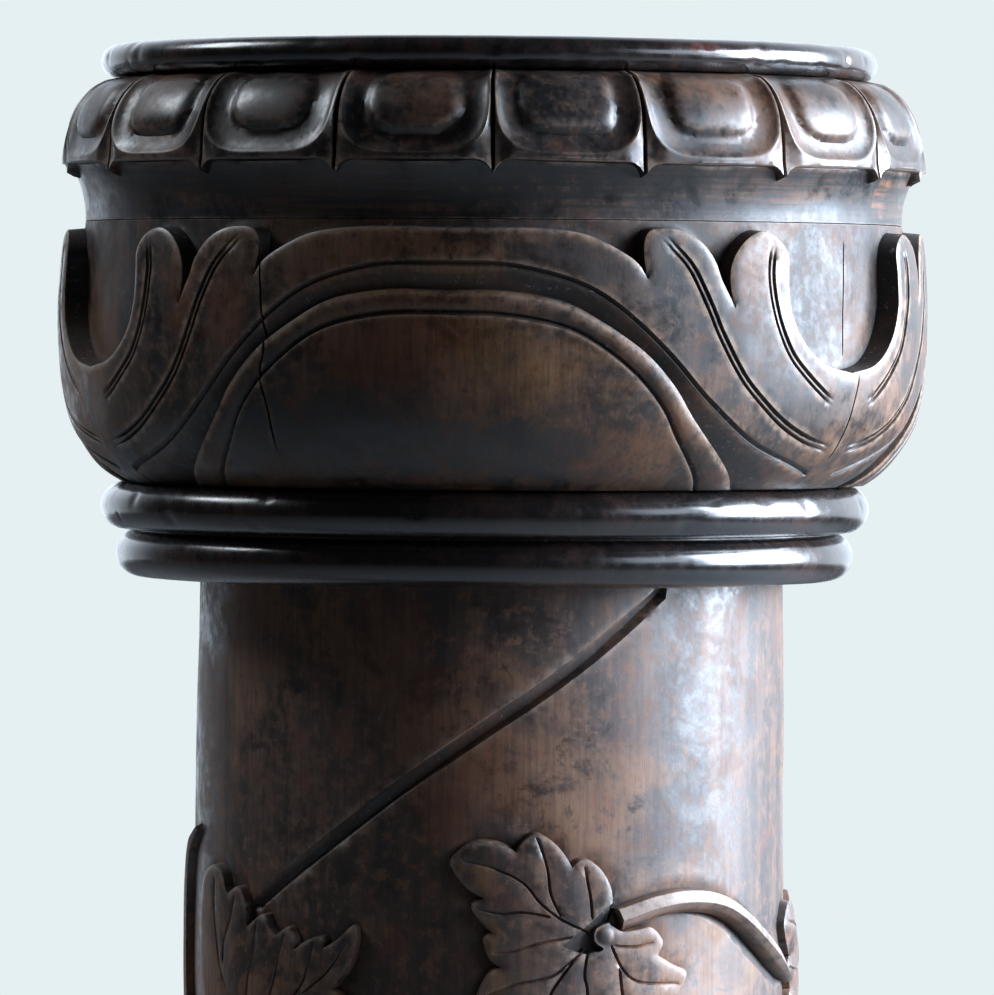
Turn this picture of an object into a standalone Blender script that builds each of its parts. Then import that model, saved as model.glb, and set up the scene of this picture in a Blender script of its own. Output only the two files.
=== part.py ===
"""A carved wooden pedestal column, about 1.05 m tall, standing on its own foot.

It is a stack of turned and carved pieces on one upright axis. From the top down they are a thin round
rim, a moulding of eggs over a cove, a bowl with arches and leaf fingers in deep relief, a pair of
necking rings, a shaft with a vine in relief, and a plain base of one ring, a bell and a foot.

Sizes are in metres and +Z is up. The origin is the middle of the underside. Angles round the axis are
measured from the front, which faces -Y, and grow towards +X.
"""

from math import cos, hypot, pi, radians, sin, sqrt

import bmesh
import bpy
from mathutils import Vector
from mathutils.geometry import delaunay_2d_cdt

# Stack, from the floor up
FOOT_HEIGHT = 0.026
BELL_HEIGHT = 0.075
BASE_RING_HEIGHT = 0.018
SHAFT_LENGTH = 0.745
NECK_RING_HEIGHT = 0.0164
BOWL_HEIGHT = 0.0901
COVE_HEIGHT = 0.0186
LIP_HEIGHT = 0.0024
EGG_HEIGHT = 0.0288
RIM_THICKNESS = 0.011
JOINT_GAP = 0.0003

# Turned radii
FOOT_RADIUS = 0.158
FOOT_ROUNDING = 0.008
BELL_RADIUS = 0.1500
BASE_RING_RADIUS = 0.137
SHAFT_FOOT_RADIUS = 0.1100
SHAFT_TOP_RADIUS = 0.1020
UPPER_NECK_RADIUS = 0.1342
LOWER_NECK_RADIUS = 0.1288
NECK_CREVICE = 0.0045
BOWL_RADIUS = 0.1519
BOWL_RELIEF = 0.0094
BOWL_GROUND_RADIUS = BOWL_RADIUS - BOWL_RELIEF
COVE_FLARE = 0.0055
LIP_STEP = 0.0029
EGG_OVERHANG = 0.0196
RIM_OVERHANG = 0.0042
EGG_LIP_RADIUS = BOWL_GROUND_RADIUS + COVE_FLARE + LIP_STEP
EGG_TOP_RADIUS = EGG_LIP_RADIUS - EGG_OVERHANG
RIM_RADIUS = EGG_TOP_RADIUS + RIM_OVERHANG

# The rim and the necking sit slightly to the left of the axis, as they were fitted by hand
RIM_SHIFT = -0.0019
NECK_SHIFT = -0.0025

# Eggs
EGG_COUNT = 18
EGG_FIRST_JOINT = radians(-0.5)
EGG_SIDE_MARGIN = 0.0009
EGG_SQUARENESS = 4
EGG_GROOVE_DEPTH = 0.0034
EGG_DART_START = 0.66
EGG_DART_HEIGHT = 0.0036
EGG_LIP_DRAFT = 0.0006
# Section of an egg from its middle outwards: (share of its width and height, depth below its ridge)
EGG_SECTION = [(0, 0.0002), (0.30, 0.0003), (0.60, 0.0013), (0.80, 0.0032), (1, 0)]
EGG_LEVEL_STEPS = {0.30: 1, 0.60: 3, 0.80: 3, 1: 5}

# Relief of the bowl
MOTIF_COUNT = 3
MOTIF_ANGLE = radians(-6)
RELIEF_WALL_DRAFT = 0.0006
CHANNEL_DEPTH = 0.0034
CUT_DEPTH = 0.0018
CUT_WIDTH = 0.0026
BOWL_POINT_SPACING = 0.0100
BOWL_ROWS = (0.60, 0.86)
BOWL_ROW_STEPS = 6

# Half a motif runs from the middle of an arch to the middle of the gap between two leaves. Its lines
# are (share of the half motif's width, share of the bowl's height below its top).
ARCH_EDGE = [(0, 0.033), (0.18, 0.033), (0.28, 0.051), (0.34, 0.087), (0.405, 0.151), (0.432, 0.212)]
INNER_FINGER = [(0.432, 0.212), (0.425, 0.123), (0.430, 0.062), (0.450, 0.032), (0.508, 0.033),
                (0.558, 0.073), (0.590, 0.145), (0.607, 0.218), (0.635, 0.311)]
OUTER_FINGER = [(0.635, 0.311), (0.627, 0.229), (0.633, 0.144), (0.667, 0.068), (0.715, 0.034),
                (0.760, 0.060), (0.785, 0.118), (0.785, 0.195), (0.790, 0.313), (0.825, 0.434),
                (0.900, 0.526), (1, 0.559)]
ARCH_CREST = [(0, 0.158), (0.127, 0.166), (0.243, 0.214), (0.320, 0.269), (0.398, 0.364),
              (0.483, 0.498), (0.587, 0.680), (0.722, 0.830), (0.942, 0.939)]
BEAD_OUTER = [(0, 0.254), (0.117, 0.256), (0.243, 0.295), (0.332, 0.371), (0.430, 0.484),
              (0.498, 0.606), (0.550, 0.728), (0.617, 0.839), (0.742, 1)]
BEAD_INNER = [(0, 0.321), (0.117, 0.329), (0.243, 0.373), (0.325, 0.440), (0.417, 0.562),
              (0.480, 0.684), (0.533, 0.817), (0.640, 1)]
INNER_FINGER_CUT = [(0.470, 0.062), (0.532, 0.169), (0.577, 0.322), (0.607, 0.433), (0.668, 0.595),
                    (0.763, 0.728), (0.860, 0.802), (0.975, 0.850)]
OUTER_FINGER_CUT = [(0.740, 0.084), (0.733, 0.208), (0.750, 0.356), (0.787, 0.484), (0.847, 0.578),
                    (0.933, 0.673)]
# The bowl's turned outline: (share of its height below its top, share of its radius)
BELLY = [(0, 0.983), (0.15, 0.994), (0.38, 1), (0.60, 0.993), (0.73, 0.979), (0.81, 0.961),
         (0.87, 0.940), (0.93, 0.912), (0.97, 0.885), (1, 0.856)]

# The bell's turned outline: (share of its height, share of its radius)
BELL_PROFILE = [(0, 0.960), (0.18, 0.990), (0.42, 1), (0.64, 0.985), (0.82, 0.945), (1, 0.868)]

# Vine on the shaft
LEAF_RELIEF = 0.0050
LEAF_EDGE_DRAFT = 0.0008
STEM_RELIEF = 0.0066
STEM_WIDTH = 0.0076
TENDRIL_DEPTH = 0.0026
TENDRIL_WIDTH = 0.0055
SHAFT_SEAM = radians(-153)
SHAFT_STRIPS = 28
# Leaf outlines, clockwise, from the stalk: hundredths of the shaft's radius to the right and up
LOBED_LEAF = [(-48.5, 22.5), (-44.5, 28), (-36, 29.5), (-28, 26), (-23, 32), (-16.5, 29), (-9.5, 21),
              (-5, 24), (0.5, 20), (3.5, 9.5), (5, 2), (16.5, 1), (22.5, -2), (20.5, -8), (31, -14),
              (26, -21.5), (15.5, -23.5), (18.5, -33), (9.5, -40.5), (1, -34), (-8, -47),
              (-17.5, -42.5), (-20.5, -34), (-33, -36), (-40, -18), (-33.5, -11), (-39, -4), (-35.5, 0),
              (-42, 8), (-39.5, 12)]
TOOTHED_LEAF = [(-52.5, 14), (-48.5, 39.5), (-40.5, 50), (-33, 49), (-19.5, 41), (-12, 44),
                (-6.5, 30.5), (1.5, 36), (7.5, 28.5), (13.5, 32), (16, 25.5), (26.5, 29), (28, 25),
                (38, 34), (37.5, 20.5), (31, 13.5), (37, 2), (24, -1), (27, -14), (15.5, -14),
                (14.5, -28.5), (2, -25.5), (-6, -41.5), (-12.5, -25.5), (-26, -29), (-24, -15),
                (-39, -14), (-36, -4), (-48.5, 1)]
PLAIN_LEAF_LOBES = 7
PLAIN_LEAF_REACH = 40
PLAIN_LEAF_NOTCH = 28
PLAIN_LEAF_TIP_ANGLE = radians(8)
# Leaves of the top row: (angle in degrees and share of the shaft's length below its top, of the stalk)
TOP_LOBED_LEAVES = [(21, 0.156), (105, 0.187)]
TOP_TOOTHED_LEAF = (-48, 0.202)
TOP_PLAIN_LEAVES = [(171, 0.167), (-117, 0.172)]
# First leaf of each plainer row below, and the step from one leaf to the next
LOWER_ROWS = [(-80, 0.430), (-124, 0.700)]
LEAVES_PER_ROW = 4
LEAF_STEP = 80
LEAF_STAGGER = 0.013
# Arched stem of a leaf: (degrees past the stalk, hundredths of the radius above the stalk)
ARCH_STEM = [(0, 0), (9, 9), (20, 11.5), (31, 7), (45.5, -6.5), (59.5, -20)]
# Lines given as (angle in degrees, share of the shaft's length below its top): a stem and the tendrils
EDGE_STEM = [(-75, 0.116), (-82, 0.129), (-85, 0.154), (-84, 0.195), (-76, 0.228), (-62, 0.242),
             (-50, 0.215)]
TOP_TENDRIL = [(34.6, 0.002), (20.6, 0.028), (9, 0.048), (-2.3, 0.066), (-17.6, 0.092), (-32.3, 0.118),
               (-50.5, 0.148)]
# A lower leaf's tendril, from its stalk: (degrees past the stalk, share of the length above it)
LEAF_TENDRIL = [(-5, 0.060), (14, 0.108), (38, 0.155)]

TURNED_SHARP_ANGLE = radians(40)
CARVED_SHARP_ANGLE = radians(25)
ROUND_SEGMENTS = 40
RING_SEGMENTS = 5
MERGE_DISTANCE = 1e-5
WOOD_COLOUR = (0.060, 0.027, 0.017, 1)
RING_COLOUR = (0.022, 0.012, 0.010, 1)


def wood(name, colour, roughness):
    """A Principled material of one colour."""
    material = bpy.data.materials.new(name)
    material.use_nodes = True
    shader = material.node_tree.nodes["Principled BSDF"]
    shader.inputs["Base Color"].default_value = colour
    shader.inputs["Roughness"].default_value = roughness
    shader.inputs["Metallic"].default_value = 0
    return material


def around(angle, radius, height):
    """The point at an angle from the front, at a distance from the axis and at a height."""
    return Vector((radius * sin(angle), -radius * cos(angle), height))


def smooth_line(points, spacing):
    """A Catmull-Rom curve through the points, with a point about every spacing."""
    first = [2 * points[0][i] - points[1][i] for i in (0, 1)]
    last = [2 * points[-1][i] - points[-2][i] for i in (0, 1)]
    ring = [first, *points, last]
    line = []
    for before, start, end, after in zip(ring, ring[1:], ring[2:], ring[3:]):
        steps = max(1, round(hypot(end[0] - start[0], end[1] - start[1]) / spacing))
        for step in range(steps):
            t = step / steps
            line.append(tuple(
                0.5 * (2 * start[i] + (end[i] - before[i]) * t
                       + (2 * before[i] - 5 * start[i] + 4 * end[i] - after[i]) * t * t
                       + (3 * start[i] - before[i] - 3 * end[i] + after[i]) * t ** 3)
                for i in (0, 1)))
    line.append(tuple(points[-1]))
    return line


def beside(line, distance, closed=False):
    """The line moved sideways by distance, to the left of the way it runs."""
    moved = []
    for i, (x, y) in enumerate(line):
        before = line[i - 1] if closed or i else line[i]
        after = line[(i + 1) % len(line)] if closed or i + 1 < len(line) else line[i]
        across = (before[1] - after[1], after[0] - before[0])
        length = hypot(*across) or 1
        moved.append((x + across[0] / length * distance, y + across[1] / length * distance))
    return moved


def border(line, width):
    """The closed loop round a cut or a stem that follows the line, pointed at both ends."""
    caps = []
    for end, before in ((line[0], line[1]), (line[-1], line[-2])):
        reach = width / 2 / hypot(end[0] - before[0], end[1] - before[1])
        caps.append(tuple(end[i] + (end[i] - before[i]) * reach for i in (0, 1)))
    left, right = beside(line, width / 2), beside(line, -width / 2)
    return [caps[0], *left, caps[1], *reversed(right)]


def distance_to(point, line, closed=False):
    """How far the point is from the nearest stretch of the line."""
    best = 1e9
    ends = line[1:] + line[:1] if closed else line[1:]
    for a, b in zip(line, ends):
        ab = (b[0] - a[0], b[1] - a[1])
        ap = (point[0] - a[0], point[1] - a[1])
        t = min(1, max(0, (ap[0] * ab[0] + ap[1] * ab[1]) / (ab[0] ** 2 + ab[1] ** 2 or 1)))
        best = min(best, hypot(ap[0] - t * ab[0], ap[1] - t * ab[1]))
    return best


def inside(point, outline):
    """True if the point is within the closed outline."""
    x, y = point
    odd = False
    for (ax, ay), (bx, by) in zip(outline, outline[1:] + outline[:1]):
        if (ay > y) != (by > y) and x < (bx - ax) * (y - ay) / (by - ay) + ax:
            odd = not odd
    return odd


def height_on(line, x):
    """The second coordinate of a line that runs in growing x, at x."""
    for (ax, ay), (bx, by) in zip(line, line[1:]):
        if ax <= x <= bx:
            return ay + (by - ay) * (x - ax) / (bx - ax or 1)
    return line[0][1] if x < line[0][0] else line[-1][1]


def spread(low, high, count):
    """Count steps of equal length from low to high, both ends included."""
    return [low + (high - low) * i / count for i in range(count + 1)]


def held_between(value, low, high):
    """The value kept between the two limits, and put on a limit if it is next to it."""
    if value < low + MERGE_DISTANCE:
        return low
    return high if value > high - MERGE_DISTANCE else value


def flat_mesh(width, bottom, top, lines, loops, points):
    """Triangles that fill the rectangle from 0 to width and keep every line and loop as edges."""
    nodes, edges = [], []
    for line, closed in [(item, False) for item in lines] + [(item, True) for item in loops]:
        first = len(nodes)
        nodes += [(held_between(x, 0, width), held_between(y, bottom, top)) for x, y in line]
        edges += [(i, i + 1) for i in range(first, len(nodes) - 1)]
        if closed:
            edges.append((len(nodes) - 1, first))
    nodes += points
    flat, _, faces, *_ = delaunay_2d_cdt([Vector(node) for node in nodes], edges, [], 0, MERGE_DISTANCE)
    return [tuple(point) for point in flat], faces


def add_object(name, mesh_data, material, sharp_angle):
    """Closes the mesh's open rims with flat faces and links it as a smooth-shaded object."""
    bmesh.ops.remove_doubles(mesh_data, verts=mesh_data.verts, dist=MERGE_DISTANCE)
    rims = [edge for edge in mesh_data.edges if edge.is_boundary]
    bmesh.ops.holes_fill(mesh_data, edges=rims, sides=0)
    bmesh.ops.recalc_face_normals(mesh_data, faces=mesh_data.faces)
    mesh = bpy.data.meshes.new(name)
    mesh_data.to_mesh(mesh)
    mesh_data.free()
    mesh.shade_smooth()
    mesh.set_sharp_from_angle(angle=sharp_angle)
    mesh.materials.append(material)
    column_piece = bpy.data.objects.new(name, mesh)
    bpy.context.scene.collection.objects.link(column_piece)
    return column_piece


def turned(name, profile, material, shift=0):
    """Spins a profile of (radius, height) points, from the top down, into a solid."""
    mesh_data = bmesh.new()
    line = [mesh_data.verts.new((radius, 0, height)) for radius, height in profile]
    edges = [mesh_data.edges.new(pair) for pair in zip(line, line[1:])]
    bmesh.ops.spin(mesh_data, geom=line + edges, cent=(0, 0, 0), axis=(0, 0, 1), angle=2 * pi,
                   steps=ROUND_SEGMENTS, use_merge=False, use_duplicate=False)
    piece = add_object(name, mesh_data, material, TURNED_SHARP_ANGLE)
    piece.location.x = shift


def wrapped(name, flat, faces, width, radius_at, first_angle, copies, mirrored, material):
    """Bends a flat mesh round the axis, copy after copy, each with its mirror image if mirrored."""
    mesh_data = bmesh.new()
    turn = 2 * pi / copies
    sector = turn / 2 if mirrored else turn
    for copy in range(copies):
        for side in (1, -1) if mirrored else (1,):
            nodes = []
            for x, height in flat:
                angle = first_angle + copy * turn + side * x / width * sector
                nodes.append(mesh_data.verts.new(around(angle, radius_at(x, height), height)))
            for face in faces:
                mesh_data.faces.new([nodes[i] for i in face])
    add_object(name, mesh_data, material, CARVED_SHARP_ANGLE)


def rounded_edge(radius, middle, half_height, segments):
    """Points of a half-round edge, from its top to its bottom."""
    turn = spread(pi / 2, -pi / 2, segments)
    return [(radius - half_height + half_height * cos(a), middle + half_height * sin(a)) for a in turn]


def make_foot(bottom, material):
    """The plain round foot, with its upper edge rounded."""
    top = bottom + FOOT_HEIGHT
    corner = [(FOOT_RADIUS - FOOT_ROUNDING * (1 - sin(a)), top - FOOT_ROUNDING * (1 - cos(a)))
              for a in spread(0, pi / 2, RING_SEGMENTS)]
    turned("foot", corner + [(FOOT_RADIUS, bottom)], material)
    return top


def make_bell(bottom, material):
    """The plain bell of the base, much like the bowl upside down."""
    profile = [(BELL_RADIUS * share, bottom + BELL_HEIGHT * up) for up, share in reversed(BELL_PROFILE)]
    turned("base_bell", profile, material)
    return bottom + BELL_HEIGHT


def make_base_ring(bottom, material):
    """The ring under the shaft."""
    half = BASE_RING_HEIGHT / 2
    turned("base_ring", rounded_edge(BASE_RING_RADIUS, bottom + half, half, RING_SEGMENTS), material)
    return bottom + BASE_RING_HEIGHT


def make_neck(bottom, material):
    """The necking under the bowl: two rings turned from one piece, the upper one wider."""
    half = NECK_RING_HEIGHT / 2
    upper = rounded_edge(UPPER_NECK_RADIUS, bottom + 3 * half, half, RING_SEGMENTS)
    lower = rounded_edge(LOWER_NECK_RADIUS, bottom + half, half, RING_SEGMENTS)
    crevice = (LOWER_NECK_RADIUS - NECK_CREVICE, bottom + 2 * half)
    profile = [p for p in upper[:-1] if p[1] > crevice[1] and (p[0] > crevice[0] or p[1] > bottom + 3 * half)]
    profile.append(crevice)
    profile += [p for p in lower[1:] if p[1] < crevice[1] and (p[0] > crevice[0] or p[1] < bottom + half)]
    turned("neck_rings", profile, material, NECK_SHIFT)
    return bottom + 2 * NECK_RING_HEIGHT


def make_rim(bottom, material):
    """The thin round rim on top."""
    half = RIM_THICKNESS / 2
    turned("top_rim", rounded_edge(RIM_RADIUS, bottom + half, half, RING_SEGMENTS), material, RIM_SHIFT)
    return bottom + RIM_THICKNESS


def make_egg_moulding(bottom, material):
    """Eggs in square frames, with a groove between each pair, over a lip and a plain cove."""
    top = bottom + EGG_HEIGHT + LIP_HEIGHT + COVE_HEIGHT
    half_width = pi / EGG_COUNT * EGG_LIP_RADIUS
    egg_width = half_width - EGG_SIDE_MARGIN
    lip_depth = EGG_HEIGHT + LIP_HEIGHT
    dart_depth = lip_depth + EGG_DART_HEIGHT
    lip_edge = [(0, lip_depth), (EGG_DART_START * half_width, lip_depth), (half_width, dart_depth)]

    def lip_radius(x, below):
        """Radius of the eggs and the darts between them, which slope into the groove."""
        rise = max(0, 1 - below / EGG_HEIGHT)
        outer = EGG_TOP_RADIUS + (EGG_LIP_RADIUS - EGG_TOP_RADIUS) * sqrt(1 - rise * rise)
        across, down = x / egg_width, below / EGG_HEIGHT
        share = (across ** EGG_SQUARENESS + down ** EGG_SQUARENESS) ** (1 / EGG_SQUARENESS)
        if share < 1:
            return outer - height_on(EGG_SECTION, share)
        ridge = egg_width * max(0, 1 - down ** EGG_SQUARENESS) ** (1 / EGG_SQUARENESS)
        ridge = max(ridge, EGG_DART_START * half_width)
        shallow = 0.6 * max(0, below - EGG_HEIGHT) / (dart_depth - EGG_HEIGHT)
        return outer - EGG_GROOVE_DEPTH * (1 - shallow) * max(0, x - ridge) / (half_width - ridge)

    def radius_at(x, z):
        below = max(0, top - z)
        under_lip = below - height_on(lip_edge, x)
        if under_lip < EGG_LIP_DRAFT / 10:
            return lip_radius(x, below)
        rest = max(0, 1 - (below - lip_depth) / COVE_HEIGHT)
        return BOWL_GROUND_RADIUS + COVE_FLARE * rest ** 2.2

    def level_line(share, steps):
        """The curve on which the egg's section has one share, from the top to the egg's middle."""
        turns = spread(0, pi / 2, steps)
        power = 2 / EGG_SQUARENESS
        return [(egg_width * share * cos(a) ** power, top - EGG_HEIGHT * share * sin(a) ** power)
                for a in turns]

    lines = [level_line(share, steps) for share, steps in EGG_LEVEL_STEPS.items()]
    lines += [[(x, top - below - drop) for x, below in lip_edge] for drop in (0, EGG_LIP_DRAFT)]
    points = [(0, top), (half_width, top)]
    points += [(half_width, top - EGG_HEIGHT * share) for share in (0.3, 0.62, 0.88)]
    points += [(x, bottom + COVE_HEIGHT * share) for share in (0, 0.45) for x in (0, half_width)]
    flat, faces = flat_mesh(half_width, bottom, top, lines, [], points)
    wrapped("egg_moulding", flat, faces, half_width, radius_at, EGG_FIRST_JOINT + pi / EGG_COUNT,
            EGG_COUNT, True, material)
    return top


def belly_radius(below_share):
    """Radius of the bowl before it is carved, at a share of its height below its top."""
    return BOWL_RADIUS * height_on(BELLY, below_share)


def make_bowl(bottom, material):
    """The bowl: arches with a bead inside, between leaves with two fingers a side, cut back to a wall."""
    top = bottom + BOWL_HEIGHT
    half_width = pi / MOTIF_COUNT * BOWL_RADIUS

    def placed(points, spacing=BOWL_POINT_SPACING):
        return smooth_line([(x * half_width, top - y * BOWL_HEIGHT) for x, y in points], spacing)

    strokes = [placed(stroke) for stroke in (ARCH_EDGE, INNER_FINGER, OUTER_FINGER)]
    skyline = strokes[0] + strokes[1][1:] + strokes[2][1:]
    under = bottom - BOWL_HEIGHT
    carved = [(-half_width, under), (-half_width, skyline[0][1]), *skyline,
              (half_width * 2, skyline[-1][1]), (half_width * 2, under)]
    crest = placed(ARCH_CREST, BOWL_POINT_SPACING * 1.3)
    bead_outer = placed(BEAD_OUTER, BOWL_POINT_SPACING * 1.3)
    bead_inner = placed(BEAD_INNER, BOWL_POINT_SPACING * 1.3)
    bead_shoulder = beside(bead_outer, -2 * RELIEF_WALL_DRAFT)
    bead_cut = beside(bead_inner, -CUT_WIDTH / 2)
    finger_cuts = [placed(cut, BOWL_POINT_SPACING * 1.5) for cut in (INNER_FINGER_CUT, OUTER_FINGER_CUT)]
    channel = [*crest, (half_width, under), *reversed(bead_outer)]

    def radius_at(x, z):
        below = (top - z) / BOWL_HEIGHT
        outer = belly_radius(below)
        from_skyline = distance_to((x, z), skyline)
        if not inside((x, z), carved) and from_skyline > RELIEF_WALL_DRAFT / 10:
            return outer - (outer - BOWL_GROUND_RADIUS) * min(1, from_skyline / RELIEF_WALL_DRAFT)
        nearest_cut = min(distance_to((x, z), cut) for cut in [bead_cut, *finger_cuts])
        from_bead = distance_to((x, z), bead_outer)
        if from_bead < RELIEF_WALL_DRAFT / 10:
            return outer - CHANNEL_DEPTH
        if inside((x, z), channel):
            from_crest = distance_to((x, z), crest)
            return outer - CHANNEL_DEPTH * from_crest / (from_crest + from_bead)
        return outer - CUT_DEPTH * max(0, 1 - nearest_cut / (CUT_WIDTH / 2))

    lines = [skyline, beside(skyline, RELIEF_WALL_DRAFT), crest, bead_outer, bead_shoulder, bead_cut,
             bead_inner, beside(bead_inner, -CUT_WIDTH)]
    lines += [[(x, top - y * BOWL_HEIGHT) for x in spread(0, half_width, BOWL_ROW_STEPS)]
              for y in BOWL_ROWS]
    lines += finger_cuts
    loops = [border(cut, CUT_WIDTH) for cut in finger_cuts]
    points = [(x, z) for x in spread(0, half_width, BOWL_ROW_STEPS) for z in (bottom, top)]
    flat, faces = flat_mesh(half_width, bottom, top, lines, loops, points)
    wrapped("bowl", flat, faces, half_width, radius_at, MOTIF_ANGLE, MOTIF_COUNT, True, material)
    return top


def plain_leaf():
    """The outline of a leaf with blunt lobes all round, clockwise."""
    outline = []
    for lobe in range(PLAIN_LEAF_LOBES):
        middle = pi / 2 - lobe * 2 * pi / PLAIN_LEAF_LOBES
        notch = middle - pi / PLAIN_LEAF_LOBES
        for angle, reach in ((middle + PLAIN_LEAF_TIP_ANGLE, PLAIN_LEAF_REACH),
                             (middle - PLAIN_LEAF_TIP_ANGLE, PLAIN_LEAF_REACH),
                             (notch, PLAIN_LEAF_NOTCH)):
            outline.append((reach * cos(angle), reach * sin(angle)))
    return outline


def make_shaft(bottom, material):
    """The tapered shaft, with rows of vine leaves on arched stems and tendrils cut into it."""
    top = bottom + SHAFT_LENGTH
    middle_radius = (SHAFT_TOP_RADIUS + SHAFT_FOOT_RADIUS) / 2
    full_width = 2 * pi * middle_radius

    def unrolled(degrees, below):
        """The place on the unrolled shaft at an angle and a share of the length below the top."""
        return (radians(degrees) - SHAFT_SEAM) % (2 * pi) * middle_radius, top - below * SHAFT_LENGTH

    def placed_leaf(outline, stalk):
        across, up = unrolled(*stalk)
        return [(across + x * middle_radius / 100, up + y * middle_radius / 100) for x, y in outline]

    def placed_stem(stalk):
        across, up = unrolled(*stalk)
        return [(across + radians(past) * middle_radius, up + rise * middle_radius / 100)
                for past, rise in ARCH_STEM]

    leaves = [placed_leaf(LOBED_LEAF, stalk) for stalk in TOP_LOBED_LEAVES]
    leaves.append(placed_leaf(TOOTHED_LEAF, TOP_TOOTHED_LEAF))
    leaves += [placed_leaf(plain_leaf(), stalk) for stalk in TOP_PLAIN_LEAVES]
    stems = [placed_stem(TOP_LOBED_LEAVES[0]), [unrolled(*place) for place in EDGE_STEM]]
    tendrils = [[unrolled(*place) for place in TOP_TENDRIL]]
    for first_degrees, first_below in LOWER_ROWS:
        for i in range(LEAVES_PER_ROW):
            stalk = (first_degrees + i * LEAF_STEP, first_below + i % 2 * LEAF_STAGGER)
            leaves.append(placed_leaf(plain_leaf(), stalk))
            tendrils.append([unrolled(stalk[0] + past, stalk[1] - rise) for past, rise in LEAF_TENDRIL])
            if radians(stalk[0] + ARCH_STEM[-1][0]) < SHAFT_SEAM + 2 * pi:
                stems.append(placed_stem(stalk))

    def radius_at(x, z):
        surface = SHAFT_FOOT_RADIUS + (SHAFT_TOP_RADIUS - SHAFT_FOOT_RADIUS) * (z - bottom) / SHAFT_LENGTH
        on_leaf = any(
            inside((x, z), leaf) or distance_to((x, z), leaf, closed=True) < LEAF_EDGE_DRAFT / 10
            for leaf in leaves)
        from_stem = min(distance_to((x, z), stem) for stem in stems)
        stem_relief = STEM_RELIEF * max(0, 1 - from_stem / (STEM_WIDTH / 2))
        if on_leaf or stem_relief:
            return surface + max(LEAF_RELIEF * on_leaf, stem_relief)
        from_tendril = min(distance_to((x, z), tendril) for tendril in tendrils)
        return surface - TENDRIL_DEPTH * max(0, 1 - from_tendril / (TENDRIL_WIDTH / 2))

    lines = [[(x, bottom), (x, top)] for x in spread(0, full_width, SHAFT_STRIPS)]
    lines += stems + tendrils
    loops = leaves + [beside(leaf, LEAF_EDGE_DRAFT, closed=True) for leaf in leaves]
    loops += [border(stem, STEM_WIDTH) for stem in stems]
    loops += [border(tendril, TENDRIL_WIDTH) for tendril in tendrils]
    flat, faces = flat_mesh(full_width, bottom, top, lines, loops, [])
    wrapped("shaft", flat, faces, full_width, radius_at, SHAFT_SEAM, 1, False, material)
    return top


def main():
    for item in list(bpy.data.objects):
        bpy.data.objects.remove(item, do_unlink=True)
    carved = wood("carved_wood", WOOD_COLOUR, 0.45)
    polished = wood("polished_wood", RING_COLOUR, 0.30)
    level = 0
    for make, material in ((make_foot, polished), (make_bell, carved), (make_base_ring, polished),
                           (make_shaft, carved), (make_neck, polished), (make_bowl, carved),
                           (make_egg_moulding, carved), (make_rim, polished)):
        level = make(level, material) + JOINT_GAP


main()
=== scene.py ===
"""Looks of the carved wooden column: finely carved meshes that stand for its solids, stained and waxed
wood, a pale floor and soft window light from the right.

Sizes are in metres and +Z is up. Angles round the axis are measured from the front, which faces -Y, and
grow towards +X. A carved piece is laid out flat, as x along its girth and z up, and then wrapped round.
"""

from math import cos, hypot, pi, radians, sin

import bmesh
import bpy
import numpy as np
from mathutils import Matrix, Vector
from mathutils.geometry import delaunay_2d_cdt


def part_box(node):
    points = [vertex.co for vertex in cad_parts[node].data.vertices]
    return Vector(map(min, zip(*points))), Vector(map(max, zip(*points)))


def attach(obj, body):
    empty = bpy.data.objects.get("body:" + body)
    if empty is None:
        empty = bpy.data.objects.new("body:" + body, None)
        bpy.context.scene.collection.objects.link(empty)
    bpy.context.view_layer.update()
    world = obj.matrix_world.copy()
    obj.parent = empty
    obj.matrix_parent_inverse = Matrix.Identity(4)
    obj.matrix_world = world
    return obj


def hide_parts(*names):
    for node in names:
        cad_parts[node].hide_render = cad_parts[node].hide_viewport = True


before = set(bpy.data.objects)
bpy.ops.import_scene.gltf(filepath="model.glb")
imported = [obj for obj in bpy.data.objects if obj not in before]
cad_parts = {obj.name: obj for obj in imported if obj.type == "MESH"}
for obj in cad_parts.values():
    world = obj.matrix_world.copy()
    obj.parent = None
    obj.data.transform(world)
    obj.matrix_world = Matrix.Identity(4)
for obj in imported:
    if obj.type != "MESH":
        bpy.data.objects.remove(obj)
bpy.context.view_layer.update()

# Turned radii
FOOT_RADIUS = 0.158
FOOT_ROUNDING = 0.008
BELL_RADIUS = 0.1500
BASE_RING_RADIUS = 0.137
SHAFT_FOOT_RADIUS = 0.1100
SHAFT_TOP_RADIUS = 0.1020
UPPER_NECK_RADIUS = 0.1342
LOWER_NECK_RADIUS = 0.1288
NECK_CREVICE = 0.0060
BOWL_RADIUS = 0.1519
BOWL_GROUND_RADIUS = 0.1425
COVE_FLARE = 0.0055
EGG_LIP_RADIUS = 0.1509
EGG_TOP_RADIUS = 0.1313
RIM_RADIUS = 0.1355
RIM_SHIFT = -0.0019
NECK_SHIFT = -0.0025

# Eggs
EGG_COUNT = 18
EGG_FIRST_JOINT = radians(-0.5)
EGG_HEIGHT = 0.0296
EGG_LIP_HEIGHT = 0.0016
EGG_SIDE_MARGIN = 0.0009
EGG_SQUARENESS = 4
EGG_DART_START = 0.75
EGG_DART_HEIGHT = 0.0046
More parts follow.
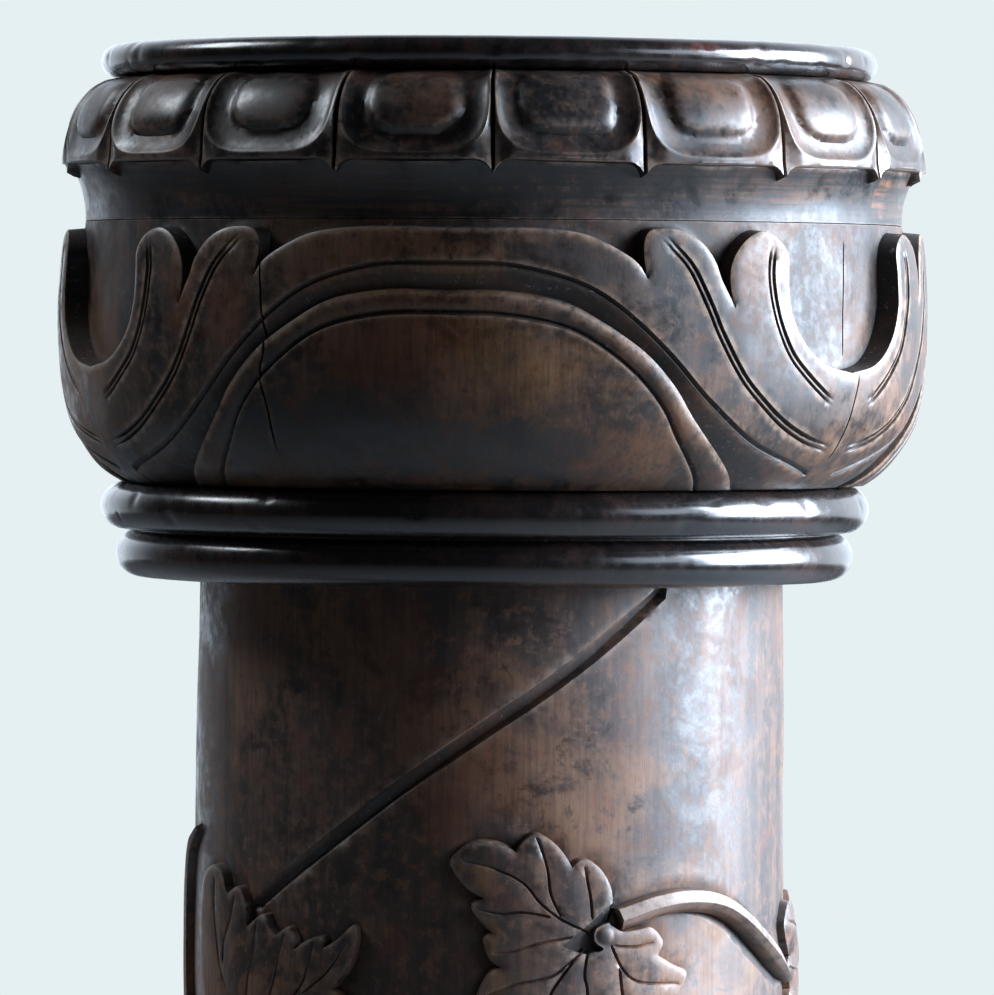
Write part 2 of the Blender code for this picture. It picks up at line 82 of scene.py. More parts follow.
# Lower edge of the lip: (share of half an egg's room, share of the dart's height)
EGG_DART_EDGE = [(0, 0), (0.75, 0), (0.85, 0.12), (0.92, 0.36), (0.96, 0.64), (1, 1)]
EGG_DART_DEPTH = 0.0020
EGG_GROOVE_DEPTH = 0.0032
EGG_GROOVE_HALF = 0.0008
EGG_LIP_DRAFT = 0.0006
EGG_LEVELS = [0.25, 0.45, 0.54, 0.60, 0.66, 0.72, 0.78, 0.84, 0.90, 0.955, 0.98, 1.0, 1.015]
EGG_TOP_LEVELS = [0.0007, 0.0016, 0.0026, 0.0038, 0.0052]
# Middle of the cushion, as a share of the egg's height, and its share of the way out at the egg's top
CUSHION_MIDDLE = 0.30
CUSHION_TOP = 0.72
# Depth under the ridge against the share of the egg's width and height, for its cushion and its frame
EGG_CUSHION = [(0, 0.0001), (0.42, 0.0003), (0.54, 0.0007), (0.60, 0.0014), (0.72, 0.0034), (1, 0.0040)]
EGG_FRAME = [(0, 0.0060), (0.60, 0.0036), (0.72, 0.0032), (0.80, 0.0028), (0.90, 0.0018), (0.955, 0.0007),
             (0.98, 0.0001), (1, 0)]
# Hand-carved joints: (angle in degrees, degrees that a joint is off its place, rise of the lip there)
EGG_JOINTS = [(-180, 0, 0), (-80, -0.3, 0.0010), (-60.5, -0.4, 0.0016), (-40.5, -0.7, 0.0016),
              (-20.5, -0.3, 0.0013), (-0.5, 0.4, 0.0009), (19.5, 0.1, 0.0002), (39.5, 1.3, 0),
              (59.5, 1.6, 0), (85, 0.8, 0), (120, 0, 0), (180, 0, 0)]

# Relief of the bowl
MOTIF_COUNT = 3
MOTIF_ANGLE = radians(-6)
WALL_DRAFT = 0.0006
CHANNEL_DEPTH = 0.0034
CREST_DEPTH = 0.0013
CREST_WIDTH = 0.0024
BEAD_CUT_DEPTH = 0.0019
BEAD_CUT_WIDTH = 0.0026
# Half width of the painted shade along the bead cut and the crest
CUT_SHADE_HALF = 0.0007
FINGER_CUT_DEPTH = 0.0019
FINGER_CUT_WIDTH = 0.0034
FINGER_RIDGE_HALF = 0.0003
FINGER_FLOOR_HALF = 0.0009
# About how far from a finger groove's middle line its painted shade reaches
FINGER_SHADE_HALF = 0.0014
# Half a motif: (share of the half motif's width, share of the bowl's height below its top)
ARCH_EDGE = [(0, 0.033), (0.18, 0.033), (0.28, 0.051), (0.34, 0.087), (0.405, 0.151), (0.432, 0.212)]
INNER_FINGER = [(0.432, 0.212), (0.425, 0.123), (0.430, 0.062), (0.450, 0.032), (0.508, 0.033),
                (0.558, 0.073), (0.590, 0.145), (0.607, 0.218), (0.635, 0.311)]
OUTER_FINGER = [(0.635, 0.311), (0.627, 0.229), (0.633, 0.144), (0.667, 0.068), (0.715, 0.034),
                (0.760, 0.060), (0.785, 0.118), (0.785, 0.195), (0.790, 0.313), (0.825, 0.434),
                (0.900, 0.526), (1, 0.559)]
ARCH_CREST = [(0, 0.158), (0.127, 0.166), (0.243, 0.214), (0.320, 0.269), (0.398, 0.364),
              (0.483, 0.498), (0.587, 0.680), (0.722, 0.830), (0.942, 0.939)]
BEAD_OUTER = [(0, 0.254), (0.117, 0.256), (0.243, 0.295), (0.332, 0.371), (0.430, 0.484),
              (0.498, 0.606), (0.550, 0.728), (0.617, 0.839), (0.742, 1)]
BEAD_INNER = [(0, 0.321), (0.117, 0.329), (0.243, 0.373), (0.325, 0.440), (0.417, 0.562),
              (0.480, 0.684), (0.533, 0.817), (0.640, 1)]
INNER_FINGER_CUT = [(0.470, 0.062), (0.532, 0.169), (0.577, 0.322), (0.607, 0.433), (0.668, 0.595),
                    (0.763, 0.728), (0.860, 0.802), (0.975, 0.850)]
OUTER_FINGER_CUT = [(0.740, 0.084), (0.733, 0.208), (0.750, 0.356), (0.787, 0.484), (0.847, 0.578),
                    (0.933, 0.673)]
BELLY = [(0, 0.983), (0.15, 0.994), (0.38, 1), (0.60, 0.993), (0.73, 0.979), (0.81, 0.961),
         (0.87, 0.940), (0.93, 0.912), (0.97, 0.885), (1, 0.856)]
# Cracks down the bowl: (angle in degrees, share of the bowl's height below its top)
CRACKS = [[(-31.5, 0.02), (-30.8, 0.25), (-30.4, 0.48), (-31.2, 0.58), (-30.2, 0.72), (-30.0, 0.92)],
          [(56.3, 0.06), (56.5, 0.28), (56.6, 0.50)],
          [(55.4, 0.56), (54.6, 0.70), (53.4, 0.88)]]
CRACK_DEPTH = 0.0016
CRACK_WIDTH = 0.0008
# Rounding of the carved edges, and how far it reaches
EDGE_ROUNDING = 0.0006
BEAD_ROUNDING = 0.0007
EDGE_REACH = 0.0009
WALL_FOOT_REACH = 0.0008
# How far painted shade reaches from a wall's foot, and how much the whole sunk ground is darkened
FOOT_SHADE_REACH = 0.0010
GROUND_DARKENING = 0.33

BELL_PROFILE = [(0, 0.960), (0.18, 0.990), (0.42, 1), (0.64, 0.985), (0.82, 0.945), (1, 0.868)]

# Vine on the shaft
# Height of a leaf, how much its edge is lower, and how far from the edge it reaches its height
FLAT_LEAF = (0.0036, 0.0006, 0.0012)
LOW_LEAF = (0.0027, 0.0005, 0.0010)
ROUND_LEAF = (0.0056, 0.0040, 0.0080)
LEAF_DRAFT = 0.0007
LEAF_EDGE_LINE = 0.0008
# Hollow of the ground round a leaf, and swelling of a leaf between its veins: size and reach
LEAF_HALO = (0.0007, 0.0025)
LEAF_SWELLING = (0.0004, 0.0030)
VEIN_DEPTH = 0.0009
VEIN_WIDTH = 0.0013
STEM_RELIEF = 0.0062
STEM_WIDTH = 0.0112
EDGE_STEM_RELIEF = 0.0046
# Share of the stem's width along it
STEM_TAPER = [(0, 1), (0.30, 1), (0.50, 0.80), (0.80, 0.76), (1, 0.30)]
EDGE_STEM_TAPER = [(0, 0.30), (0.06, 0.55), (0.20, 0.68), (0.80, 0.66), (1, 0.40)]
STEM_END_DRAFT = 0.0006
# Share, along an arched stem, of the hollow cut under it
STEM_HOLLOW = [(0, 0), (0.24, 0), (0.42, 0.6), (0.62, 1), (0.92, 0.9), (0.98, 0)]
STEM_HOLLOW_WIDTH = 0.0050
STEM_HOLLOW_DEPTH = 0.0018
# Share of the stem's relief against the place across it, from its lower edge to a cut above it
STEM_SECTION = [(-1, 0), (-0.96, 0.36), (-0.66, 0.70), (-0.31, 1), (-0.27, 1), (0.04, 0.93), (0.37, 0.80),
                (0.42, 0.60), (0.46, -0.12), (0.75, -0.06), (1, 0)]
# Where the stem of the lobed leaf is cut off: a pit in the leaf, and a round knob, as leaf places
STALK_PIT = [(-14, -4), (-8, 0.5), (-3, 4.5), (2.5, 9), (6, 11), (5.2, 8), (4.4, 5.6), (3.6, 3.8), (0.9, 3.1),
             (-1.9, 1.8), (-2.9, -0.6), (-2, -3.2), (0.4, -4.6), (-1, -5.8), (-3, -5.9), (-6.5, -6.5)]
STALK_PIT_DEPTH = 0.0030
STALK_PIT_DRAFT = 0.0005
STALK_KNOB = (0.9, -0.6)
STALK_KNOB_RADIUS = 0.0033
STALK_KNOB_RISE = 0.0012
TENDRIL_DEPTH = 0.0026
TENDRIL_WIDTH = 0.0062
# Share of the tendril's depth against the place across it
TENDRIL_SECTION = [(-1, 0), (-0.88, 0.5), (0.20, 1), (0.40, 1), (1, 0)]
SHAFT_SEAM = radians(-153)
# Leaf outlines by lobes, clockwise, and veins: hundredths of the shaft's radius right of and above the stalk
LOBED_LEAF = [
    [(-38.5, 11.5), (-44, 15), (-47.5, 19.5), (-49, 23), (-46, 26.5), (-42.5, 29), (-37.5, 29.5),
     (-32.5, 28.5), (-28, 26)],
    [(-28, 26), (-26.5, 29), (-24, 31), (-22, 32), (-18.5, 30.5), (-14.5, 27.5), (-12, 24.5), (-10, 21)],
    [(-10, 21), (-8, 23), (-5, 23.5), (-1.5, 21.5), (1, 18.5), (3, 14.5), (3.5, 10), (2.5, 3)],
    [(2.5, 3), (7, 0.5), (13.5, 1), (17.5, 1.5), (21, -1.5), (22, -4), (20, -7.5)],
    [(20, -7.5), (25.5, -10.5), (31.5, -13.5), (29, -19), (24, -22), (15.5, -23.5)],
    [(15.5, -23.5), (18.5, -28), (18, -34), (14, -38), (9.5, -40.5), (4, -38.5), (1, -34)],
    [(1, -34), (-2, -41), (-8, -47), (-14, -46), (-18.5, -41), (-20.5, -34)],
    [(-20.5, -34), (-26, -38), (-33, -36), (-38.5, -31), (-41, -25), (-40, -19), (-36.5, -12.5),
     (-33, -10.5)],
    [(-33, -10.5), (-36.5, -7.5), (-38, -3), (-38, -1), (-35.5, 0.5)],
    [(-35.5, 0.5), (-39.5, 4.5), (-42, 8), (-42, 9.5), (-38.5, 11.5)]]
LOBED_VEINS = [
    [(-45, 23.5), (-38, 22), (-33, 20), (-28.5, 18), (-24.5, 15), (-21, 10.5), (-17, 7), (-12.5, 4), (-4, 0)],
    [(-21.8, 30.5), (-19.5, 25), (-18, 19.5), (-17.5, 14.5), (-16.5, 11), (-14, 6)],
    [(-6, 21), (-5, 16), (-4, 11), (-3.5, 5)],
    [(-40, 8), (-33, 6.5), (-27, 7), (-22.5, 6.5), (-17.5, 5.5)],
    [(-35, -6), (-29.5, -5.5), (-24.5, -4), (-19, -2.5), (-10, -1)],
    [(-37, -19), (-28.5, -16), (-23.5, -15), (-17, -13.5), (-12.5, -10.5), (-6, -5)],
    [(-24, -33), (-20, -26), (-17, -19), (-14.5, -15), (-10, -9)],
    [(-8, -44), (-6, -30), (-5, -19), (-6, -13), (-5, -6)],
    [(28, -17), (20, -16.5), (12, -15.5), (7, -11.5), (3, -4)],
    [(10, -37), (9, -28), (7, -19.5), (6, -11.5)],
    [(18, -3.5), (11, -4.5), (4, -4)]]
TOOTHED_LEAF = [
    [(-34, 7.5), (-37, 16), (-38, 24), (-38.5, 33), (-37, 44), (-32, 48.5), (-26, 49.5), (-21.5, 47),
     (-19, 42.5), (-17.5, 41)],
    [(-17.5, 41), (-11.5, 43.5), (-7.5, 39.5), (-6.5, 35.5), (-6, 31)],
    [(-6, 31), (2, 35.5), (5, 31.5), (8, 29)],
    [(8, 29), (13.5, 32), (16, 28.5), (16.5, 25)],
    [(16.5, 25), (21, 28), (27.5, 29.5), (28, 26)],
    [(28, 26), (33, 29), (38.5, 33.5), (39.5, 29.5), (37.5, 21), (33, 15.5), (31, 13)],
    [(31, 13), (37, 9), (37, 2), (30, -1), (24, -2)],
    [(24, -2), (28, -8), (27, -14), (20, -15), (15.5, -13)],
    [(15.5, -13), (18, -21), (14.5, -28.5), (7, -27), (2, -24)],
    [(2, -24), (0, -36), (-6, -41.5), (-10, -34), (-12.5, -25)],
    [(-12.5, -25), (-19, -30), (-26, -29), (-27, -22), (-24, -15)],
    [(-24, -15), (-32, -17), (-39, -14), (-39, -8), (-35, -3), (-34, 2), (-36, 7.5)]]
TOOTHED_VEINS = [
    [(-26.5, 45), (-26, 34), (-23.5, 24), (-21, 16), (-16, 9), (-6, 0)],
    [(-13, 40), (-15.5, 32.5), (-19, 25.5), (-19.5, 19)],
    [(-1, 33), (-2.5, 23), (-4.5, 16), (-5.5, 8), (-4, 1)],
    [(12, 29.5), (9.5, 22.5), (8, 16), (5, 8), (0, 1)],
    [(24, 27.5), (21.5, 19), (18, 12), (8, 4)],
    [(36, 28), (30, 19), (20, 11)],
    [(33, 4), (22, 3), (8, 1)],
    [(23, -12), (14, -7), (4, -2)],
    [(12, -24), (7, -13), (1, -3)],
    [(-6, -36), (-5, -20), (-3, -4)],
    [(-23, -25), (-14, -12), (-5, -2)],
    [(-35, -11), (-22, -6), (-7, -1)]]
PLAIN_LEAF_LOBES = 7
PLAIN_LEAF_REACH = 40
PLAIN_LEAF_NOTCH = 28
# Leaves of the top row: (angle in degrees and share of the shaft's length below its top, of the stalk)
TOP_LOBED_LEAVES = [(21, 0.1565), (105, 0.192)]
TOP_TOOTHED_LEAF = (-48, 0.202)
TOP_PLAIN_LEAVES = [(171, 0.167), (-117, 0.172)]
LOWER_ROWS = [(-80, 0.430), (-124, 0.700)]
LEAVES_PER_ROW = 4
LEAF_STEP = 80
LEAF_STAGGER = 0.013
ARCH_STEM = [(3.0, 5.6), (9.7, 9), (16, 10.7), (22.9, 10.2), (28.9, 7.5), (35.2, 2.2), (43, -5.5),
             (52, -14), (59.5, -20.5)]
EDGE_STEM = [(-75, 0.116), (-82, 0.129), (-85, 0.154), (-84, 0.195), (-76, 0.228), (-62, 0.242),
             (-50, 0.215)]
TOP_TENDRIL = [(34.6, 0.002), (20.6, 0.028), (9, 0.048), (-2.3, 0.066), (-17.6, 0.092), (-32.3, 0.118),
               (-50.5, 0.148)]
LEAF_TENDRIL = [(-5, 0.060), (14, 0.108), (38, 0.155)]

# Colours of the wood and of what lies on it
BLACK = (0.008, 0.009, 0.014, 1)
UMBER = (0.020, 0.012, 0.009, 1)
OCHRE = (0.20, 0.095, 0.034, 1)
RUST = (0.16, 0.050, 0.018, 1)
PALE_RED = (0.30, 0.12, 0.06, 1)
RED_BROWN = (0.11, 0.035, 0.028, 1)
RED_PATCH = (0.17, 0.040, 0.018, 1)
PORE_COLOUR = (0.006, 0.004, 0.004, 1)
# Colour of dirt, and of painted shade in cuts and hollows
DIRT_AND_SHADE_COLOUR = (0.008, 0.006, 0.006, 1)
DUST_COLOUR = (0.16, 0.15, 0.15, 1)
# Stains, and one painted shadow among the bowl's: (angle in degrees, height, distance from the axis, half
# width, half height, colour, strength)
EGG_STAINS = [
    (41, 0.9973, 0.1445, 0.012, 0.0020, BLACK, 0.85),
    (52, 0.9939, 0.1445, 0.010, 0.0024, BLACK, 0.9),
    (67, 0.998, 0.1445, 0.010, 0.008, PALE_RED, 0.6)]
BOWL_STAINS_AND_SHADOW = [
    (-43.5, 0.9657, 0.150, 0.008, 0.020, RUST, 0.7),
    (-35.8, 0.9542, 0.150, 0.010, 0.016, RUST, 0.6),
    (-18.3, 0.9662, 0.150, 0.018, 0.005, OCHRE, 0.7),
    (-5.4, 0.9699, 0.150, 0.020, 0.004, OCHRE, 0.8),
    (11.1, 0.9671, 0.150, 0.020, 0.004, OCHRE, 0.7),
    (-11.7, 0.9449, 0.151, 0.024, 0.016, RUST, 0.5),
    (3.4, 0.9355, 0.151, 0.022, 0.014, OCHRE, 0.5),
    (-21.1, 0.9181, 0.150, 0.030, 0.012, BLACK, 0.6),
    (0.9, 0.9123, 0.150, 0.040, 0.010, BLACK, 0.6),
    (-20.9, 0.9784, 0.151, 0.020, 0.006, OCHRE, 0.4),
    # Painted shadow of the fingers on the front arch's right shoulder
    (9.5, 0.972, 0.151, 0.032, 0.013, UMBER, 0.9),
    (46, 0.925, 0.151, 0.020, 0.012, UMBER, 0.5)]
SHAFT_STAINS = [
    (-7.8, 0.7886, 0.105, 0.010, 0.014, RUST, 0.6),
    (-0.5, 0.7452, 0.108, 0.006, 0.010, OCHRE, 0.7),
    (-18, 0.845, 0.104, 0.016, 0.022, RUST, 0.4),
    (0, 0.805, 0.104, 0.012, 0.020, RUST, 0.4),
    (-1, 0.7665, 0.108, 0.006, 0.009, OCHRE, 0.7),
    (0.3, 0.734, 0.108, 0.008, 0.006, OCHRE, 0.8),
    (50, 0.7475, 0.109, 0.010, 0.006, OCHRE, 0.7),
    (62, 0.734, 0.109, 0.010, 0.010, OCHRE, 0.7)]
RIM_STAINS = [
    (31.7, 1.0465, 0.1355, 0.007, 0.0025, RED_BROWN, 0.6),
    (41.7, 1.0452, 0.1355, 0.007, 0.0025, RED_BROWN, 0.6)]

# Light and camera
FLOOR_DARK = (0.08, 0.08, 0.08, 1)
FLOOR_SEEN_IN_GLOSS = 0.8
LIGHT_AIM = (0, 0, 0.86)
# Soft windows: (name, place, size, power, colour)
WINDOWS = [
    ("window", (2.09, 0.08, 1.40), (1.6, 1.4), 255, (0.72, 0.84, 1.0)),
    ("front_window", (1.75, -1.25, 1.55), (0.8, 0.8), 9, (0.72, 0.84, 1.0)),
    ("left_window", (-1.35, 0.22, 2.10), (0.6, 0.6), 14, (0.85, 0.93, 1.0))]
CAMERA_PLACE = (0.0018, -2.66, 0.954)
CAMERA_AIM = (0.0018, 0, 0.893)
CAMERA_LENS = 275
CAMERA_ROLL = radians(0.38)

# Mesh
LINE_SPACING = 0.0013
BOWL_SPACING = 0.0015
EGG_SPACING = 0.0015
LEAF_SPACING = 0.0014
NEAR_SPACING = 0.0024
NEAR_REACH = 0.010
GROUND_SPACING = 0.0048
RING_SEGMENTS = 480
MERGE_DISTANCE = 1e-6
JOINT_DIRT = 0.0006
SHARP_ANGLE = radians(38)


def smooth_line(points, spacing):
    """A Catmull-Rom curve through the points, with a point about every spacing."""
    points = [np.array(point, float) for point in points]
    ring = [2 * points[0] - points[1], *points, 2 * points[-1] - points[-2]]
    line = []
    for before, start, end, after in zip(ring, ring[1:], ring[2:], ring[3:]):
        steps = max(1, round(hypot(*(end - start)) / spacing))
        for t in np.arange(steps) / steps:
            line.append(0.5 * (2 * start + (end - before) * t
                               + (2 * before - 5 * start + 4 * end - after) * t * t
                               + (3 * start - before - 3 * end + after) * t ** 3))
    return np.array([*line, points[-1]])


def beside(line, distance, closed=False):
    """The line moved sideways by a distance or by one for each point, to the left of the way it runs."""
    if closed:
        across = np.roll(line, -1, axis=0) - np.roll(line, 1, axis=0)
    else:
        across = np.gradient(line, axis=0)
    across /= np.maximum(np.hypot(*across.T), 1e-9)[:, None]
    distance = np.broadcast_to(distance, len(line))[:, None]
    return line + distance * np.column_stack([-across[:, 1], across[:, 0]])


def border(line, width):
    """The closed loop round a line, pointed at both ends."""
    start = line[0] + (line[0] - line[1]) / hypot(*(line[0] - line[1])) * width / 2
    end = line[-1] + (line[-1] - line[-2]) / hypot(*(line[-1] - line[-2])) * width / 2
    return np.vstack([start, beside(line, width / 2), end, beside(line, -width / 2)[::-1]])


def distance_to(points, line, reach, closed=False):
    """How far each point is from the line, at most reach, how far along it from 0 to 1, and on which side."""
    starts, ends = (line, np.roll(line, -1, axis=0)) if closed else (line[:-1], line[1:])
    lengths = np.hypot(*(ends - starts).T)
    run = np.append(0, np.cumsum(lengths))
    near = np.flatnonzero(np.all((points > line.min(0) - reach) & (points < line.max(0) + reach), axis=1))
    close = points[near]
    best = np.full(len(near), reach)
    along, left = np.zeros(len(near)), np.ones(len(near))
    for start, end, length, before in zip(starts, ends, lengths, run):
        step = (end - start) / max(length, 1e-12)
        offset = close - start
        t = np.clip(offset @ step, 0, length)
        away = np.hypot(offset[:, 0] - t * step[0], offset[:, 1] - t * step[1])
        closer = away < best
        best[closer] = away[closer]
        along[closer] = (before + t[closer]) / run[-1]
        left[closer] = np.sign(step[0] * offset[closer, 1] - step[1] * offset[closer, 0])
    distance, place, side = np.full(len(points), reach), np.zeros(len(points)), np.ones(len(points))
    distance[near] = best
    place[near] = along
    side[near] = left
    return distance, place, side


def inside(points, outline):
    """True for each point within the closed outline."""
    x, y = points.T
    odd = np.zeros(len(points), bool)
    for (ax, ay), (bx, by) in zip(outline, np.roll(outline, -1, axis=0)):
        if ay != by:
            odd ^= ((ay > y) != (by > y)) & (x < (bx - ax) * (y - ay) / (by - ay) + ax)
    return odd


def ripple(places, size, seed):
    """A smooth random field from about -1 to 1, with bumps of about the given size."""
    random = np.random.default_rng(seed)
    total = np.zeros(len(places))
    for _ in range(16):
        direction = random.normal(size=3)
        direction *= pi / size * random.uniform(0.6, 1.4) / np.linalg.norm(direction)
        total += np.sin(places @ direction + random.uniform(0, 2 * pi))
    return total / 5


def step_between(value, low, high):
    """A smooth step from 0 at low to 1 at high."""
    t = np.clip((value - low) / (high - low), 0, 1)
    return t * t * (3 - 2 * t)


def table(value, pairs):
    """The value read from a table of pairs."""
    return np.interp(value, *zip(*pairs))


def wrap(angle, radius, height):
    """Places in space, from angles from the front, distances from the axis and heights."""
    return np.column_stack([radius * np.sin(angle), -radius * np.cos(angle), height])


def scatter(width, bottom, top, spacing):
    """Evenly spread points inside the rectangle."""
    rows = np.arange(bottom + spacing / 2, top - spacing / 3, spacing * 0.866)
    x, z = np.meshgrid(np.arange(spacing / 2, width - spacing / 3, spacing), rows)
    x[1::2] += spacing / 2
    points = np.column_stack([x.ravel(), z.ravel()])
    return points[points[:, 0] < width - spacing / 3]


def clear_of(points, lines, gap):
    """The points that don't share a cell of a grid, gap wide, with a point of a line."""
    for shift in (0, gap / 2):
        taken = np.floor((np.vstack(lines) + shift) / gap).astype(np.int64)
        cells = np.floor((points + shift) / gap).astype(np.int64)
        key = [1 << 32, 1]
        points = points[~np.isin(cells @ key, taken @ key)]
    return points


def joint_dirt(heights, bottom, top):
    """Dirt along the joints with the pieces above and below."""
    return 0.55 * (np.minimum(heights - bottom, top - heights) < JOINT_DIRT / 2)


def end_line(width, height):
    """A level line round a laid-out piece, near its top or bottom."""
    across = np.linspace(0, width, round(width / 0.003) + 1)
    return np.column_stack([across, np.full(len(across), height)])


def fill(width, bottom, top, lines, loops, points, edge_spacing):
    """Triangles that fill the rectangle and keep every line and loop as edges."""
    heights = np.linspace(bottom, top, round((top - bottom) / edge_spacing) + 1)
    across = np.linspace(0, width, round(width / edge_spacing) + 1)
    rim = [(x, z) for z in heights for x in (0, width)]
    rim += [(x, z) for x in across[1:-1] for z in (bottom, top)]
    nodes, edges = [], []
    for line, closed in [(item, False) for item in lines] + [(item, True) for item in loops]:
        first = len(nodes)
        line = np.clip(line, (0, bottom), (width, top))
        line[line[:, 0] < MERGE_DISTANCE, 0] = 0
        line[line[:, 0] > width - MERGE_DISTANCE, 0] = width
        nodes += line.tolist()
        edges += [(i, i + 1) for i in range(first, len(nodes) - 1)]
        if closed:
            edges.append((len(nodes) - 1, first))
    nodes += rim + points.tolist()
    flat, _, faces, *_ = delaunay_2d_cdt([Vector(node) for node in nodes], edges, [], 0, MERGE_DISTANCE)
    return np.array(flat), faces


def store_hollows(mesh):
    """Stores for the materials how far each point is in a hollow (above 0) or on an edge (below 0)."""
    count = len(mesh.vertices)
    places, normals = np.empty(count * 3), np.empty(count * 3)
    mesh.vertices.foreach_get("co", places)
    mesh.vertex_normals.foreach_get("vector", normals)
    ends = np.empty(len(mesh.edges) * 2, np.int64)
    mesh.edges.foreach_get("vertices", ends)
    a, b = ends.reshape(-1, 2).T
    places, normals = places.reshape(-1, 3), normals.reshape(-1, 3)
    step = places[b] - places[a]
    length = np.maximum(np.linalg.norm(step, axis=1), 1e-9)
    neighbours = np.maximum(np.bincount(a, minlength=count) + np.bincount(b, minlength=count), 1)

    def gathered(at_a, at_b):
        return (np.bincount(a, at_a, count) + np.bincount(b, at_b, count)) / neighbours

    hollow = gathered((normals[a] * step).sum(1) / length, -(normals[b] * step).sum(1) / length)
    for _ in range(2):
        hollow = (hollow + gathered(hollow[b], hollow[a])) / 2
    mesh.attributes.new("hollow", "FLOAT", "POINT").data.foreach_set("value", hollow)


def add_piece(name, node, places, faces, material, dirt_and_shade=None):
    """Links a closed piece that stands for a node of the solid model. Dirt and painted shade, together, are
    from 0 to 1 for each place.
    """
    mesh = bpy.data.meshes.new(name)
    mesh.from_pydata(places.tolist(), [], faces)
    if dirt_and_shade is not None:
        mesh.attributes.new("dirt_and_shade", "FLOAT", "POINT").data.foreach_set("value", dirt_and_shade)
    mesh_data = bmesh.new()
    mesh_data.from_mesh(mesh)
    bmesh.ops.remove_doubles(mesh_data, verts=mesh_data.verts, dist=MERGE_DISTANCE * 5)
    bmesh.ops.holes_fill(mesh_data, edges=[edge for edge in mesh_data.edges if edge.is_boundary], sides=0)
    bmesh.ops.recalc_face_normals(mesh_data, faces=mesh_data.faces)
    mesh_data.to_mesh(mesh)
    mesh_data.free()
    mesh.shade_smooth()
    mesh.set_sharp_from_angle(angle=SHARP_ANGLE)
    mesh.materials.append(material)
    store_hollows(mesh)
    piece = bpy.data.objects.new(name, mesh)
    bpy.context.scene.collection.objects.link(piece)
    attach(piece, "root")
    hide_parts(node)
    return piece


def turned(name, node, profile, material, shift, unevenness, dents, seed):
    """A turned piece from a profile of (radius, height) points, from its top middle down, worn by hand."""
    profile = np.array(profile)
    along = np.gradient(profile, axis=0)
    along /= np.hypot(*along.T)[:, None]
    angles = np.arange(RING_SEGMENTS) * 2 * pi / RING_SEGMENTS
    angle = np.tile(angles, len(profile))
    radius, height = np.repeat(profile, RING_SEGMENTS, axis=0).T
    outward = np.repeat(np.column_stack([-along[:, 1], along[:, 0]]), RING_SEGMENTS, axis=0)
    places = wrap(angle, radius, height)
    move = unevenness * (ripple(places, 0.030, seed) + 0.5 * ripple(places, 0.009, seed + 1))
    random = np.random.default_rng(seed + 2)
    edge = profile[profile[:, 0] > profile[:, 0].max() * 0.97]
    for _ in range(dents):
        spot = edge[random.integers(len(edge))]
        middle = wrap(np.array([random.uniform(0, 2 * pi)]), spot[0], spot[1])
        size = random.uniform(0.0010, 0.0028)
        away = np.linalg.norm((places - middle) / (size * random.uniform(0.7, 2.5), size, size), axis=1)
        move -= random.uniform(0.0002, 0.0006) * np.exp(-away ** 2)
    fixed = np.repeat(np.arange(len(profile)) % (len(profile) - 1) == 0, RING_SEGMENTS)
    move[fixed] = 0
    places = wrap(angle, radius + move * outward[:, 0], height + move * outward[:, 1])
    places[:, 0] += shift
    places[:, 2] = np.maximum(places[:, 2], 0)
    faces = []
    for row in range(len(profile) - 1):
        for i in range(RING_SEGMENTS):
            a, b = row * RING_SEGMENTS + i, row * RING_SEGMENTS + (i + 1) % RING_SEGMENTS
            faces.append((a, a + RING_SEGMENTS, b + RING_SEGMENTS, b))
    return add_piece(name, node, places, faces, material)


def rounded_edge(radius, middle, half_height, segments):
    """Points of a half-round edge, from its top to its bottom."""
    turn = np.linspace(pi / 2, -pi / 2, segments + 1)
    return [(radius - half_height + half_height * cos(a), middle + half_height * sin(a)) for a in turn]


def flat_top(radius, height, steps):
    """Points of a flat top from near its middle outwards."""
    return [(radius * share, height) for share in np.linspace(0.04, 1, steps + 1)[:-1]]


def level(node):
    """The lowest and highest z of a node."""
    low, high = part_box(node)
    return low[2], high[2]


def make_rim(material):
    bottom, top = level("top_rim")
    half = (top - bottom) / 2
    profile = flat_top(RIM_RADIUS - half, top, 16)
    profile += rounded_edge(RIM_RADIUS, bottom + half, half, 18)
    profile += [(EGG_TOP_RADIUS - 0.006, bottom), (EGG_TOP_RADIUS - 0.020, bottom)]
    turned("rim", "top_rim", profile, material, RIM_SHIFT, 0.00005, 60, 11)


def make_neck(material):
    bottom, top = level("neck_rings")
    quarter = (top - bottom) / 4
    middle = bottom + 2 * quarter
    upper = rounded_edge(UPPER_NECK_RADIUS, bottom + 3 * quarter, quarter, 20)
    lower = rounded_edge(LOWER_NECK_RADIUS, bottom + quarter, quarter, 20)
    crevice = LOWER_NECK_RADIUS - NECK_CREVICE
    profile = [(0.100, top), (0.112, top)]
    profile += [p for p in upper if p[1] > middle + 0.0004 and (p[0] > crevice or p[1] > middle + quarter)]
    profile += [(crevice, middle + 0.0003), (crevice, middle - 0.0003)]
    profile += [p for p in lower if p[1] < middle - 0.0004 and (p[0] > crevice or p[1] < middle - quarter)]
    profile += [(0.112, bottom), (0.098, bottom)]
    turned("necking", "neck_rings", profile, material, NECK_SHIFT, 0.00006, 50, 21)


